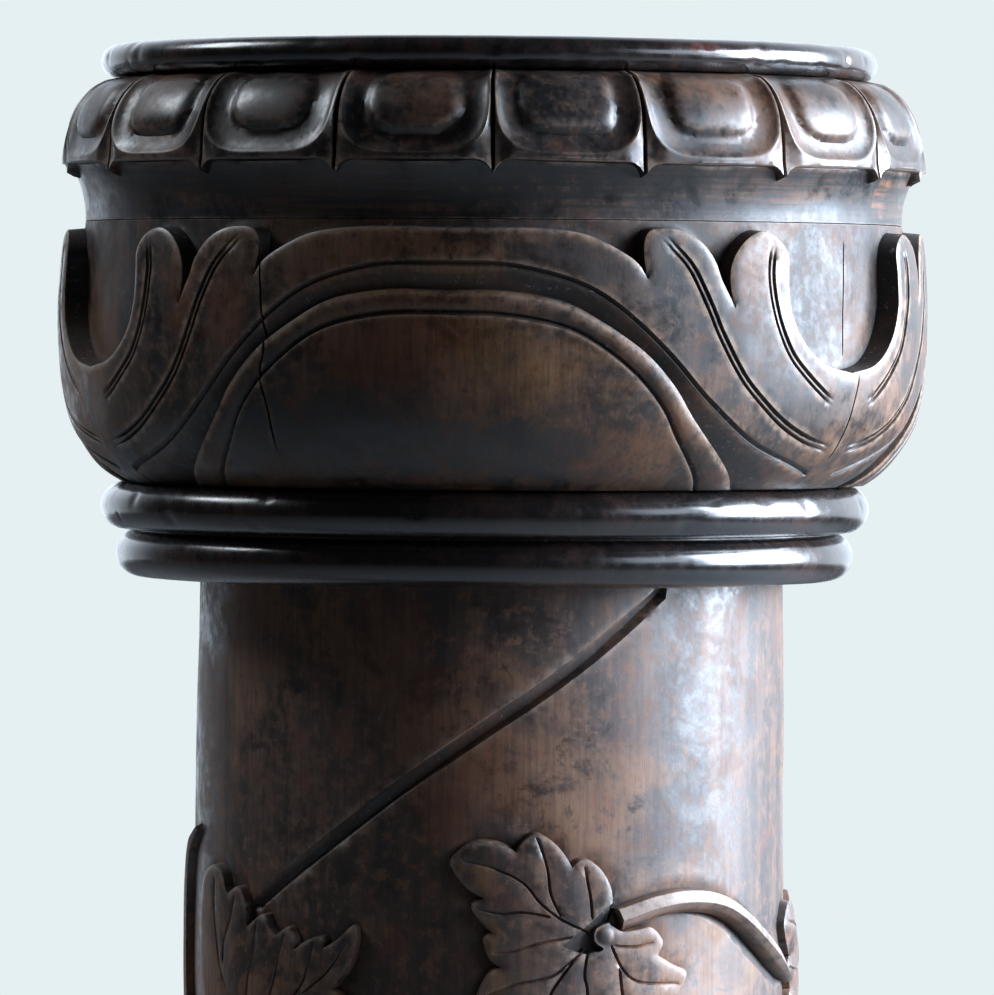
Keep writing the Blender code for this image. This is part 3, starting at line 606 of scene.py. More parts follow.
def make_base(material, bell_material):
    bottom, top = level("base_ring")
    half = (top - bottom) / 2
    profile = flat_top(BASE_RING_RADIUS - half, top, 3)
    profile += rounded_edge(BASE_RING_RADIUS, bottom + half, half, 18) + [(0.115, bottom), (0.100, bottom)]
    turned("base_collar", "base_ring", profile, material, 0, 0.00008, 50, 31)

    bottom, top = level("base_bell")
    belly = smooth_line(BELL_PROFILE, 0.02)[::-1]
    profile = [(0.1, top), (0.12, top)]
    profile += [(BELL_RADIUS * share, bottom + (top - bottom) * up) for up, share in belly]
    profile += [(0.12, bottom), (0.1, bottom)]
    turned("base_bell_wood", "base_bell", profile, bell_material, 0, 0.0004, 40, 41)

    bottom, top = level("foot")
    corner = [(FOOT_RADIUS - FOOT_ROUNDING * (1 - sin(a)), top - FOOT_ROUNDING * (1 - cos(a)))
              for a in np.linspace(0, pi / 2, 9)]
    lower = [(FOOT_RADIUS, bottom + (top - FOOT_ROUNDING - bottom) * share) for share in (0.8, 0.5, 0.25)]
    profile = [(0.1, top), (0.125, top)] + corner + lower
    profile += [(FOOT_RADIUS, bottom + 0.002), (FOOT_RADIUS - 0.0006, bottom + 0.0006),
                (FOOT_RADIUS - 0.002, bottom), (0.13, bottom), (0.1, bottom)]
    turned("foot_wood", "foot", profile, material, 0, 0.0003, 90, 51)


def hand_cut(points, bottom, top, radius, seam, amount, seed):
    """Moves flat places a little, as the cuts of a hand-carved piece wander, but not its top and bottom."""
    space = wrap(points[:, 0] / radius + seam, radius, points[:, 1])
    held = step_between(points[:, 1], bottom, bottom + 0.006) * step_between(top - points[:, 1], 0, 0.006)
    x = points[:, 0] + amount * ripple(space, 0.045, seed) * held
    z = points[:, 1] + amount * ripple(space, 0.045, seed + 1) * held
    return x, z


def make_eggs(material):
    """Eggs in square frames, with a groove between each pair, over a lip and a plain cove."""
    bottom, top = level("egg_moulding")
    half = pi / EGG_COUNT * EGG_LIP_RADIUS
    width = 2 * half * EGG_COUNT
    egg_width = half - EGG_SIDE_MARGIN
    lip_depth = EGG_HEIGHT + EGG_LIP_HEIGHT
    dart_depth = lip_depth + EGG_DART_HEIGHT
    lip_edge = [(share * half, lip_depth + drop * EGG_DART_HEIGHT) for share, drop in EGG_DART_EDGE]
    cushion_curve = smooth_line(EGG_CUSHION, 0.02)
    random = np.random.default_rng(5)
    squareness = random.uniform(2.7, 4.6, EGG_COUNT)
    crown = random.uniform(0.1, 1.0, EGG_COUNT) * 0.0014
    lean = random.uniform(-1, 1, (EGG_COUNT, 2)) * 0.0006
    reach = random.uniform(0.94, 1.05, EGG_COUNT)

    def frame_share(x, below):
        power = EGG_SQUARENESS
        return ((np.abs(x) / egg_width) ** power + (below / EGG_HEIGHT) ** power) ** (1 / power)

    def cushion_share(x, below, power):
        over = CUSHION_MIDDLE - below / EGG_HEIGHT
        tall = np.where(over > 0, over * CUSHION_TOP / CUSHION_MIDDLE, -over / (1 - CUSHION_MIDDLE))
        return ((np.abs(x) / egg_width) ** power + tall ** power) ** (1 / power)

    def radius_at(points):
        x, z = points.T
        below = np.maximum(top - z, 0)
        egg = np.clip((x // (2 * half)).astype(int), 0, EGG_COUNT - 1)
        side = x - egg * 2 * half - half
        u = np.abs(side)
        rise = np.maximum(0, 1 - below / EGG_HEIGHT)
        outer = EGG_TOP_RADIUS + (EGG_LIP_RADIUS - EGG_TOP_RADIUS) * np.sqrt(1 - rise * rise)
        share = frame_share(u, below)
        soft_share = cushion_share(u, below, squareness[egg]) / reach[egg]
        cushion = np.interp(soft_share, *cushion_curve.T) + crown[egg] * soft_share ** 2
        cushion -= lean[egg, 0] * side / egg_width + lean[egg, 1] * (below / EGG_HEIGHT - 0.4)
        depth = np.minimum(np.maximum(cushion, 0), table(share, EGG_FRAME))
        ridge = egg_width * np.maximum(0, 1 - (below / EGG_HEIGHT) ** EGG_SQUARENESS) ** (1 / EGG_SQUARENESS)
        ridge = np.maximum(ridge, EGG_DART_START * half)
        shallow = 0.6 * np.maximum(0, below - EGG_HEIGHT) / (dart_depth - EGG_HEIGHT)
        dart = EGG_DART_DEPTH * (1 - shallow) * np.maximum(0, u - ridge) / (half - ridge)
        dart += EGG_GROOVE_DEPTH * (1 - 0.4 * shallow) * np.maximum(0, 1 - (half - u) / EGG_GROOVE_HALF)
        radius = outer - np.where(share < 1, depth, dart)
        rest = np.maximum(0, 1 - (below - lip_depth) / (top - bottom - lip_depth))
        cove = BOWL_GROUND_RADIUS + COVE_FLARE * rest ** 2.2
        return np.where(below - table(u, lip_edge) < EGG_LIP_DRAFT / 10, radius, cove)

    turns = np.linspace(0, pi / 2, 31)
    power = -1 / EGG_SQUARENESS
    lines = []
    for middle in (np.arange(EGG_COUNT) * 2 + 1) * half:
        for share in EGG_LEVELS:
            spread = share * (np.cos(turns) ** EGG_SQUARENESS + np.sin(turns) ** EGG_SQUARENESS) ** power
            x = egg_width * spread * np.cos(turns)
            z = top - EGG_HEIGHT * spread * np.sin(turns)
            across = np.append(middle + x, middle - x[-2::-1])
            lines.append(np.column_stack([across, np.append(z, z[-2::-1])]))
        for below in EGG_TOP_LEVELS:
            across = np.linspace(-0.62, 0.62, 28) * egg_width
            lines.append(np.column_stack([middle + across, np.full(len(across), top - below)]))
        corners = [(middle - x, below) for x, below in lip_edge[:0:-1]]
        corners += [(middle + x, below) for x, below in lip_edge[1:]]
        for drop in (0, EGG_LIP_DRAFT):
            lines.append(np.array([(x, top - below - drop) for x, below in corners]))
    down = np.linspace(0, dart_depth, 36)
    for joint in np.arange(EGG_COUNT + 1) * 2 * half:
        offsets = [share * EGG_GROOVE_HALF for share in (-1, -0.5, 0, 0.5, 1)
                   if 0 <= joint + share * EGG_GROOVE_HALF <= width]
        lines += [np.column_stack([np.full(len(down), joint + offset), top - down]) for offset in offsets]
    lines.append(end_line(width, bottom + JOINT_DIRT))
    points = clear_of(scatter(width, bottom, top, EGG_SPACING), lines, EGG_SPACING * 0.7)
    flat, faces = fill(width, bottom, top, lines, [], points, 0.0025)
    seam = EGG_FIRST_JOINT - pi
    radius = radius_at(flat)
    x, z = hand_cut(flat, bottom, top, EGG_LIP_RADIUS, seam, 0.0004, 61)
    angles, off, rise = np.array(EGG_JOINTS).T
    degrees = np.degrees(x / EGG_LIP_RADIUS + seam)
    x += np.radians(np.interp(degrees, angles, off)) * EGG_LIP_RADIUS
    above_lip = np.clip((top - z) / lip_depth, 0, 1)
    cut_share = above_lip * np.clip((z - bottom) / (top - bottom - dart_depth), 0, 1)
    z += np.interp(degrees, angles, rise) * cut_share
    space = wrap(x / EGG_LIP_RADIUS + seam, radius, z)
    radius += 0.00012 * ripple(space, 0.012, 63) + 0.0002 * ripple(space, 0.030, 64)
    places = wrap(x / EGG_LIP_RADIUS + seam, radius, z)
    add_piece("eggs", "egg_moulding", places, faces, material,
              joint_dirt(flat[:, 1], bottom, top))


def make_bowl(material):
    """The bowl: arches with a bead inside, between leaves with two fingers a side, cut back to a wall."""
    bottom, top = level("bowl")
    height = top - bottom
    half = pi / MOTIF_COUNT * BOWL_RADIUS
    width = 2 * half * MOTIF_COUNT
    seam = MOTIF_ANGLE - pi

    def placed(points, spacing=LINE_SPACING):
        return smooth_line([(x * half, top - y * height) for x, y in points], spacing)

    skyline = np.vstack([placed(stroke) for stroke in (ARCH_EDGE, INNER_FINGER, OUTER_FINGER)])
    skyline = skyline[np.append(True, np.hypot(*np.diff(skyline, axis=0).T) > MERGE_DISTANCE)]
    under = bottom - height
    carved = np.array([(-half, under), (-half, skyline[0][1]), *skyline, (half * 2, skyline[-1][1]),
                       (half * 2, under)])
    crest, bead_outer, bead_inner = placed(ARCH_CREST), placed(BEAD_OUTER), placed(BEAD_INNER)
    bead_cut = beside(bead_inner, -BEAD_CUT_WIDTH / 2)
    finger_cuts = [placed(INNER_FINGER_CUT), placed(OUTER_FINGER_CUT)]
    channel = np.array([*crest, (half, under), *bead_outer[::-1]])
    belly = smooth_line(BELLY, 0.02)
    cracks = [smooth_line([((radians(a) - seam) * BOWL_RADIUS, top - y * height) for a, y in crack], 0.002)
              for crack in CRACKS]

    def radius_at(points):
        u = np.abs(points[:, 0] % (2 * half) - half)
        z = points[:, 1]
        local = np.column_stack([u, z])
        outer = BOWL_RADIUS * np.interp((top - z) / height, *belly.T)
        from_skyline, *_ = distance_to(local, skyline, 0.010)
        solid = inside(local, carved) | (from_skyline < WALL_DRAFT / 10)
        foot = np.exp(-np.maximum(0, from_skyline - WALL_DRAFT) / WALL_FOOT_REACH)
        in_wall = np.minimum(1, from_skyline / WALL_DRAFT) * (1 - 0.08 * foot)
        wall = outer - (outer - BOWL_GROUND_RADIUS) * in_wall
        from_crest, *_ = distance_to(local, crest, 0.05)
        from_bead, *_ = distance_to(local, bead_outer, 0.05)
        from_inner, *_ = distance_to(local, bead_inner, 0.01)
        from_cut, *_ = distance_to(local, bead_cut, 0.01)
        cut = EDGE_ROUNDING * np.exp(-from_skyline / EDGE_REACH)
        in_channel = inside(local, channel) | (from_bead < WALL_DRAFT / 10)
        slope = from_crest / np.maximum(from_crest + from_bead, 1e-9)
        cut = np.maximum(cut, np.where(in_channel, CHANNEL_DEPTH * slope ** 0.9, 0))
        edge = np.minimum(np.maximum(from_bead - WALL_DRAFT, 0), from_inner)
        cut += np.where(in_channel, 0, BEAD_ROUNDING * np.exp(-edge / EDGE_REACH))
        cut = np.maximum(cut, CREST_DEPTH * np.maximum(0, 1 - from_crest / (CREST_WIDTH / 2)))
        cut = np.maximum(cut, BEAD_CUT_DEPTH * np.maximum(0, 1 - from_cut / (BEAD_CUT_WIDTH / 2)))
        # Painted shade: dark lines along the bead cut, the crest and each finger groove
        cut_shade = 0.9 * (from_cut < CUT_SHADE_HALF * 1.1)
        cut_shade = np.maximum(cut_shade, 0.85 * (from_crest < CUT_SHADE_HALF * 1.1))
        for line in finger_cuts:
            away, along, _ = distance_to(local, line, FINGER_CUT_WIDTH)
            taper = np.clip(np.minimum(along, 1 - along) / 0.15, 0, 1)
            deep = np.interp(away, [FINGER_RIDGE_HALF, FINGER_FLOOR_HALF, FINGER_CUT_WIDTH / 2],
                             [0.0003, FINGER_CUT_DEPTH, 0])
            cut = np.maximum(cut, deep * taper)
            # Painted shade along the floor of each finger groove
            in_groove = np.abs(away - FINGER_FLOOR_HALF) < (FINGER_SHADE_HALF - FINGER_RIDGE_HALF) / 2
            cut_shade = np.maximum(cut_shade, 0.95 * np.minimum(1, 2 * taper) * in_groove)
        radius = np.where(solid, outer - cut, wall)
        for crack in cracks:
            away, along, _ = distance_to(points, crack, CRACK_WIDTH)
            taper = np.clip(np.minimum(along, 1 - along) / 0.2, 0, 1)
            radius -= CRACK_DEPTH * taper * np.maximum(0, 1 - away / (CRACK_WIDTH / 2))
        # Painted shade: the channel between crest and bead is darkened, more towards the bead
        dirt_and_shade = np.where(solid & in_channel & (cut > CREST_DEPTH), 0.55 + 0.35 * slope, cut_shade)
        # Painted shade darkens the ground at each wall's foot; the rest of the sunk ground is darkened evenly
        foot_shade = 0.95 * np.exp(-np.maximum(0, from_skyline - 2 * WALL_DRAFT) / FOOT_SHADE_REACH)
        dirt_and_shade = np.where(solid, dirt_and_shade, np.maximum(foot_shade, GROUND_DARKENING))
        return radius, np.clip(dirt_and_shade, 0, 1)

    halves = [skyline, beside(skyline, WALL_DRAFT * 0.15), beside(skyline, WALL_DRAFT),
              beside(skyline, -WALL_FOOT_REACH), crest, beside(crest, CREST_WIDTH / 2),
              beside(crest, -CREST_WIDTH / 2), bead_outer, beside(bead_outer, -WALL_DRAFT),
              beside(bead_outer, -0.0018), beside(bead_inner, 0.0010), bead_inner, bead_cut,
              beside(bead_inner, -BEAD_CUT_WIDTH), beside(bead_inner, -BEAD_CUT_WIDTH - 0.0009)]
    for line in finger_cuts:
        halves += [beside(line, side * offset) for side in (-1, 1)
                   for offset in (FINGER_RIDGE_HALF, FINGER_FLOOR_HALF, FINGER_SHADE_HALF - 0.00002,
                                  FINGER_CUT_WIDTH / 2)]
    halves += [beside(line, side * CUT_SHADE_HALF) for line in (crest, bead_cut) for side in (-1, 1)]
    for line in halves:
        line[:, 0] = np.clip(line[:, 0], 0, half)
    lines = [line * (side, 1) + (middle, 0) for middle in (np.arange(MOTIF_COUNT) * 2 + 1) * half
             for side in (1, -1) for line in halves]
    lines += cracks
    loops = [border(crack, CRACK_WIDTH) for crack in cracks]
    lines += [end_line(width, bottom + JOINT_DIRT), end_line(width, top - JOINT_DIRT)]
    points = clear_of(scatter(width, bottom, top, BOWL_SPACING), lines + loops, BOWL_SPACING * 0.7)
    flat, faces = fill(width, bottom, top, lines, loops, points, 0.002)
    radius, dirt_and_shade = radius_at(flat)
    x, z = hand_cut(flat, bottom, top, BOWL_RADIUS, seam, 0.0005, 71)
    angle = x / BOWL_RADIUS + seam
    space = wrap(angle, radius, z)
    radius += 0.00022 * ripple(space, 0.022, 73) + 0.00008 * ripple(space, 0.007, 74)
    places = wrap(angle, radius, z)
    add_piece("carved_bowl", "bowl", places, faces, material,
              np.maximum(dirt_and_shade, joint_dirt(flat[:, 1], bottom, top)))


def plain_leaf():
    """The lobes of a leaf with blunt lobes all round, clockwise, and its veins."""
    lobes, veins = [], []
    turn = pi / PLAIN_LEAF_LOBES
    shape = [(1, PLAIN_LEAF_NOTCH), (0.75, 34), (0.38, 39), (0, PLAIN_LEAF_REACH + 1), (-0.38, 39),
             (-0.75, 34), (-1, PLAIN_LEAF_NOTCH)]
    for lobe in range(PLAIN_LEAF_LOBES):
        middle = pi / 2 - lobe * 2 * turn
        lobes.append([(reach * cos(middle + part * turn), reach * sin(middle + part * turn))
                      for part, reach in shape])
        veins.append([(reach * cos(middle + bend), reach * sin(middle + bend))
                      for bend, reach in ((0, 37), (0.05, 26), (0.03, 14), (0, 4))])
    return lobes, veins


def make_shaft(material):
    """The tapered shaft, with rows of vine leaves on arched stems and tendrils cut into it."""
    bottom, top = level("shaft")
    length = top - bottom
    middle_radius = (SHAFT_TOP_RADIUS + SHAFT_FOOT_RADIUS) / 2
    width = 2 * pi * middle_radius

    def unrolled(degrees, below):
        return (radians(degrees) - SHAFT_SEAM) % (2 * pi) * middle_radius, top - below * length

    def placed(points, stalk):
        return np.array(unrolled(*stalk)) + np.array(points) * middle_radius / 100

    def placed_leaf(leaf, stalk, spacing=0.0012):
        lobes, veins = leaf
        outline = np.vstack([smooth_line(placed(lobe, stalk), spacing)[:-1] for lobe in lobes])
        return outline, [smooth_line(placed(vein, stalk), spacing * 1.5) for vein in veins]

    def blunt(stem):
        first_step = (stem[1] - stem[0]) / hypot(*(stem[1] - stem[0]))
        return np.insert(stem, 1, stem[0] + first_step * STEM_END_DRAFT, axis=0)

    def half_widths(stem, taper):
        run = np.append(0, np.cumsum(np.hypot(*np.diff(stem, axis=0).T)))
        return STEM_WIDTH / 2 * table(run / run[-1], taper)

    def placed_stem(stalk):
        across, up = unrolled(*stalk)
        return [(across + radians(past) * middle_radius, up + rise * middle_radius / 100)
                for past, rise in ARCH_STEM]

    front, side = TOP_LOBED_LEAVES
    leaves = [(*placed_leaf((LOBED_LEAF, LOBED_VEINS), front), FLAT_LEAF),
              (*placed_leaf((LOBED_LEAF, LOBED_VEINS), side), ROUND_LEAF),
              (*placed_leaf((TOOTHED_LEAF, TOOTHED_VEINS), TOP_TOOTHED_LEAF), LOW_LEAF)]
    leaves += [(*placed_leaf(plain_leaf(), stalk), ROUND_LEAF) for stalk in TOP_PLAIN_LEAVES]
    stems = [(placed_stem(front), STEM_RELIEF, STEM_TAPER),
             ([unrolled(*place) for place in EDGE_STEM], EDGE_STEM_RELIEF, EDGE_STEM_TAPER)]
    pit = smooth_line(placed([*STALK_PIT, STALK_PIT[0]], front), 0.0012)[:-1]
    pit_ridge = placed(STALK_PIT[:5], front)
    knob = placed([STALK_KNOB], front)[0]
    tendrils = [[unrolled(*place) for place in TOP_TENDRIL]]
    for first_degrees, first_below in LOWER_ROWS:
        for i in range(LEAVES_PER_ROW):
            stalk = (first_degrees + i * LEAF_STEP, first_below + i % 2 * LEAF_STAGGER)
            leaves.append((*placed_leaf(plain_leaf(), stalk), ROUND_LEAF))
            tendrils.append([unrolled(stalk[0] + past, stalk[1] - rise) for past, rise in LEAF_TENDRIL])
            if radians(stalk[0] + ARCH_STEM[-1][0]) < SHAFT_SEAM + 2 * pi:
                stems.append((placed_stem(stalk), STEM_RELIEF, STEM_TAPER))
    stems = [(blunt(smooth_line(stem, 0.0013)), height, taper) for stem, height, taper in stems]
    tendrils = [smooth_line(tendril, 0.003) for tendril in tendrils]

    def radius_at(points):
        z = points[:, 1]
        surface = SHAFT_FOOT_RADIUS + (SHAFT_TOP_RADIUS - SHAFT_FOOT_RADIUS) * (z - bottom) / length
        relief = np.zeros(len(points))
        for outline, veins, (leaf_height, edge_drop, rounding) in leaves:
            from_edge, *_ = distance_to(points, outline, 0.020, closed=True)
            within = inside(points, outline) | (from_edge < LEAF_DRAFT / 10)
            halo_depth, halo_reach = LEAF_HALO
            fade = np.exp(-np.maximum(0, from_edge - LEAF_DRAFT) / halo_reach)
            halo = halo_depth * fade * (from_edge < 0.0119)
            relief = np.where(within | (relief > 0), relief, np.minimum(relief, -halo))
            from_vein = np.full(len(points), 0.012)
            cut = np.zeros(len(points))
            for vein in veins:
                away, along, _ = distance_to(points, vein, 0.012)
                from_vein = np.minimum(from_vein, away)
                taper = 0.35 + 0.65 * np.clip(along / 0.5, 0, 1) * np.clip((1 - along) / 0.05, 0.4, 1)
                cut = np.maximum(cut, VEIN_DEPTH * taper * np.maximum(0, 1 - away / (VEIN_WIDTH / 2)))
            swelling, swelling_reach = LEAF_SWELLING
            height = leaf_height + swelling * (1 - np.exp(-from_vein / swelling_reach))
            height -= edge_drop * np.exp(-from_edge / rounding)
            relief = np.where(within, height - cut, relief)
        in_pit = inside(points, pit)
        pit_edge, *_ = distance_to(points, pit, 0.003, closed=True)
        pit_top, *_ = distance_to(points, pit_ridge, 0.010)
        pit_depth = STALK_PIT_DEPTH * (0.5 + 0.5 * np.minimum(1, pit_top / 0.0055))
        relief -= np.where(in_pit, pit_depth * np.minimum(1, pit_edge / STALK_PIT_DRAFT), 0)
        from_knob = np.hypot(*(points - knob).T) / STALK_KNOB_RADIUS
        # Painted shade: the pit round the stalk's knob is darkened
        dirt_and_shade = np.where(in_pit & (from_knob > 1), 0.95, 0)
        dome = FLAT_LEAF[0] + STALK_KNOB_RISE * (np.sqrt(np.maximum(0, 1 - from_knob ** 2)) - 0.2)
        relief = np.where(from_knob < 1, np.maximum(relief, dome), relief)
        for stem, stem_height, taper in stems:
            away, along, side = distance_to(points, stem, STEM_WIDTH)
            half_width = STEM_WIDTH / 2 * table(along, taper)
            length_along = along * np.sum(np.hypot(*np.diff(stem, axis=0).T))
            end_height = np.clip(length_along / STEM_END_DRAFT, 0, 1) * (0.4 + 0.6 * table(along, taper))
            section = stem_height * end_height * table(np.clip(side * away / half_width, -1, 1), STEM_SECTION)
            lowered = np.where(relief < 0.001, section, np.maximum(relief, section))
            relief = np.where((away < half_width) & (along > 0), lowered, relief)
            hollow = table(along, STEM_HOLLOW) * (stem_height == STEM_RELIEF)
            out = (away - half_width) / np.maximum(hollow * STEM_HOLLOW_WIDTH, 1e-6)
            hollowed = (side < 0) & (out > -0.02) & (out < 0.98) & (relief < 0.001)
            relief = np.where(hollowed, relief - STEM_HOLLOW_DEPTH * hollow * (1 - out), relief)
            # Painted shadow: the hollow cut under an arched stem is darkened
            dirt_and_shade = np.where(hollowed, 0.95, dirt_and_shade)
        for tendril in tendrils:
            away, along, side = distance_to(points, tendril, TENDRIL_WIDTH)
            half_width = TENDRIL_WIDTH / 2 * (0.75 + 0.25 * np.sin(along * pi))
            across = np.clip(side * away / half_width, -1, 1)
            relief = np.where(relief < 0.001, relief - TENDRIL_DEPTH * table(across, TENDRIL_SECTION), relief)
            # Painted shade: each tendril groove is darkened from its steep upper wall across its floor
            dirt_and_shade = np.maximum(dirt_and_shade, 0.8 * (np.abs(across + 0.2) < 0.65))
        return surface + relief, dirt_and_shade

    lines = [beside(stem, share * half_widths(stem, taper)) for stem, _, taper in stems
             for share, _ in STEM_SECTION]
    for stem, height, taper in stems:
        if height == STEM_RELIEF:
            run = np.linspace(0, 1, len(stem))
            for share in (0.5, 0.97, 1.05):
                away = half_widths(stem, taper) + share * STEM_HOLLOW_WIDTH * table(run, STEM_HOLLOW)
                part = table(run, STEM_HOLLOW) > 0.1
                lines.append(beside(stem, -away)[part])
    lines += [beside(tendril, offset) for tendril in tendrils
              for offset in (-0.0024, -0.0012, 0, 0.0006, 0.0012)]
    lines += [vein for _, veins, _ in leaves for vein in veins]
    loops = [border(line, TENDRIL_WIDTH) for line in tendrils]
    turns = np.linspace(0, 2 * pi, 24, endpoint=False)
    loops += [knob + share * STALK_KNOB_RADIUS * np.column_stack([np.cos(turns), np.sin(turns)])
              for share in (1, 0.93, 0.75, 0.5, 0.25)]
    loops += [pit, beside(pit, -STALK_PIT_DRAFT, closed=True)]
    for outline, veins, _ in leaves:
        loops += [outline, beside(outline, LEAF_DRAFT, closed=True),
                  beside(outline, -LEAF_EDGE_LINE, closed=True)]
        loops += [border(vein, VEIN_WIDTH) for vein in veins]
    marks = lines + loops
    fine = scatter(width, bottom, top, LEAF_SPACING)
    fine = fine[np.any([inside(fine, beside(outline, 0.002, closed=True)) for outline, *_ in leaves], axis=0)]
    fine = clear_of(fine, marks, LEAF_SPACING * 0.7)
    near = scatter(width, bottom, top, NEAR_SPACING)
    bodies = [(outline, True) for outline, *_ in leaves] + [(stem, False) for stem, *_ in stems]
    bodies += [(tendril, False) for tendril in tendrils]
    near = near[np.any([distance_to(near, body, NEAR_REACH, closed)[0] < NEAR_REACH
                        for body, closed in bodies], axis=0)]
    near = clear_of(near, marks + [fine], NEAR_SPACING * 0.7)
    coarse = clear_of(scatter(width, bottom, top, GROUND_SPACING), marks + [fine, near], GROUND_SPACING * 0.6)
    lines += [end_line(width, bottom + JOINT_DIRT), end_line(width, top - JOINT_DIRT)]
    flat, faces = fill(width, bottom, top, lines, loops, np.vstack([fine, near, coarse]), GROUND_SPACING)
    radius, dirt_and_shade = radius_at(flat)
    angle = flat[:, 0] / middle_radius + SHAFT_SEAM
    space = wrap(angle, radius, flat[:, 1])
    radius += 0.00025 * ripple(space, 0.035, 83) + 0.00006 * ripple(space, 0.010, 84)
    places = wrap(angle, radius, flat[:, 1])
    add_piece("vine_shaft", "shaft", places, faces, material,
              np.maximum(dirt_and_shade, joint_dirt(flat[:, 1], bottom, top)))


class Nodes:
    """Short ways to add and link the nodes of one material."""

    def __init__(self, name):
        self.material = bpy.data.materials.new(name)
        self.material.use_nodes = True
        self.tree = self.material.node_tree
        self.shader = self.tree.nodes["Principled BSDF"]
        self.place = self.add("ShaderNodeTexCoord").outputs["Object"]

    def put(self, socket, value):
        if isinstance(value, bpy.types.NodeSocket):
            self.tree.links.new(value, socket)
        else:
            socket.default_value = value

    def add(self, kind, **settings):
        node = self.tree.nodes.new(kind)
        for key, value in settings.items():
            setattr(node, key, value)
        return node

    def scaled(self, scale):
        node = self.add("ShaderNodeMapping")
        self.put(node.inputs["Vector"], self.place)
        self.put(node.inputs["Scale"], scale)
        return node.outputs["Vector"]

    def noise(self, vector, scale, detail=2, roughness=0.5, distortion=0):
        node = self.add("ShaderNodeTexNoise")
        self.put(node.inputs["Vector"], vector)
        for key, value in (("Scale", scale), ("Detail", detail), ("Roughness", roughness),
                           ("Distortion", distortion)):
            self.put(node.inputs[key], value)
        return node.outputs["Fac"]

    def between(self, value, low, high, out_low=0, out_high=1):
        node = self.add("ShaderNodeMapRange", interpolation_type="SMOOTHSTEP")
        for key, item in (("Value", value), ("From Min", low), ("From Max", high), ("To Min", out_low),
                          ("To Max", out_high)):
            self.put(node.inputs[key], item)
        return node.outputs["Result"]

    def math(self, operation, first, second):
        node = self.add("ShaderNodeMath", operation=operation)
        self.put(node.inputs[0], first)
        self.put(node.inputs[1], second)
        return node.outputs["Value"]

    def mix(self, share, first, second, kind="MIX"):
        node = self.add("ShaderNodeMix", data_type="RGBA", blend_type=kind)
        self.put(node.inputs["Factor"], share)
        self.put(node.inputs[6], first)
        self.put(node.inputs[7], second)
        return node.outputs[2]


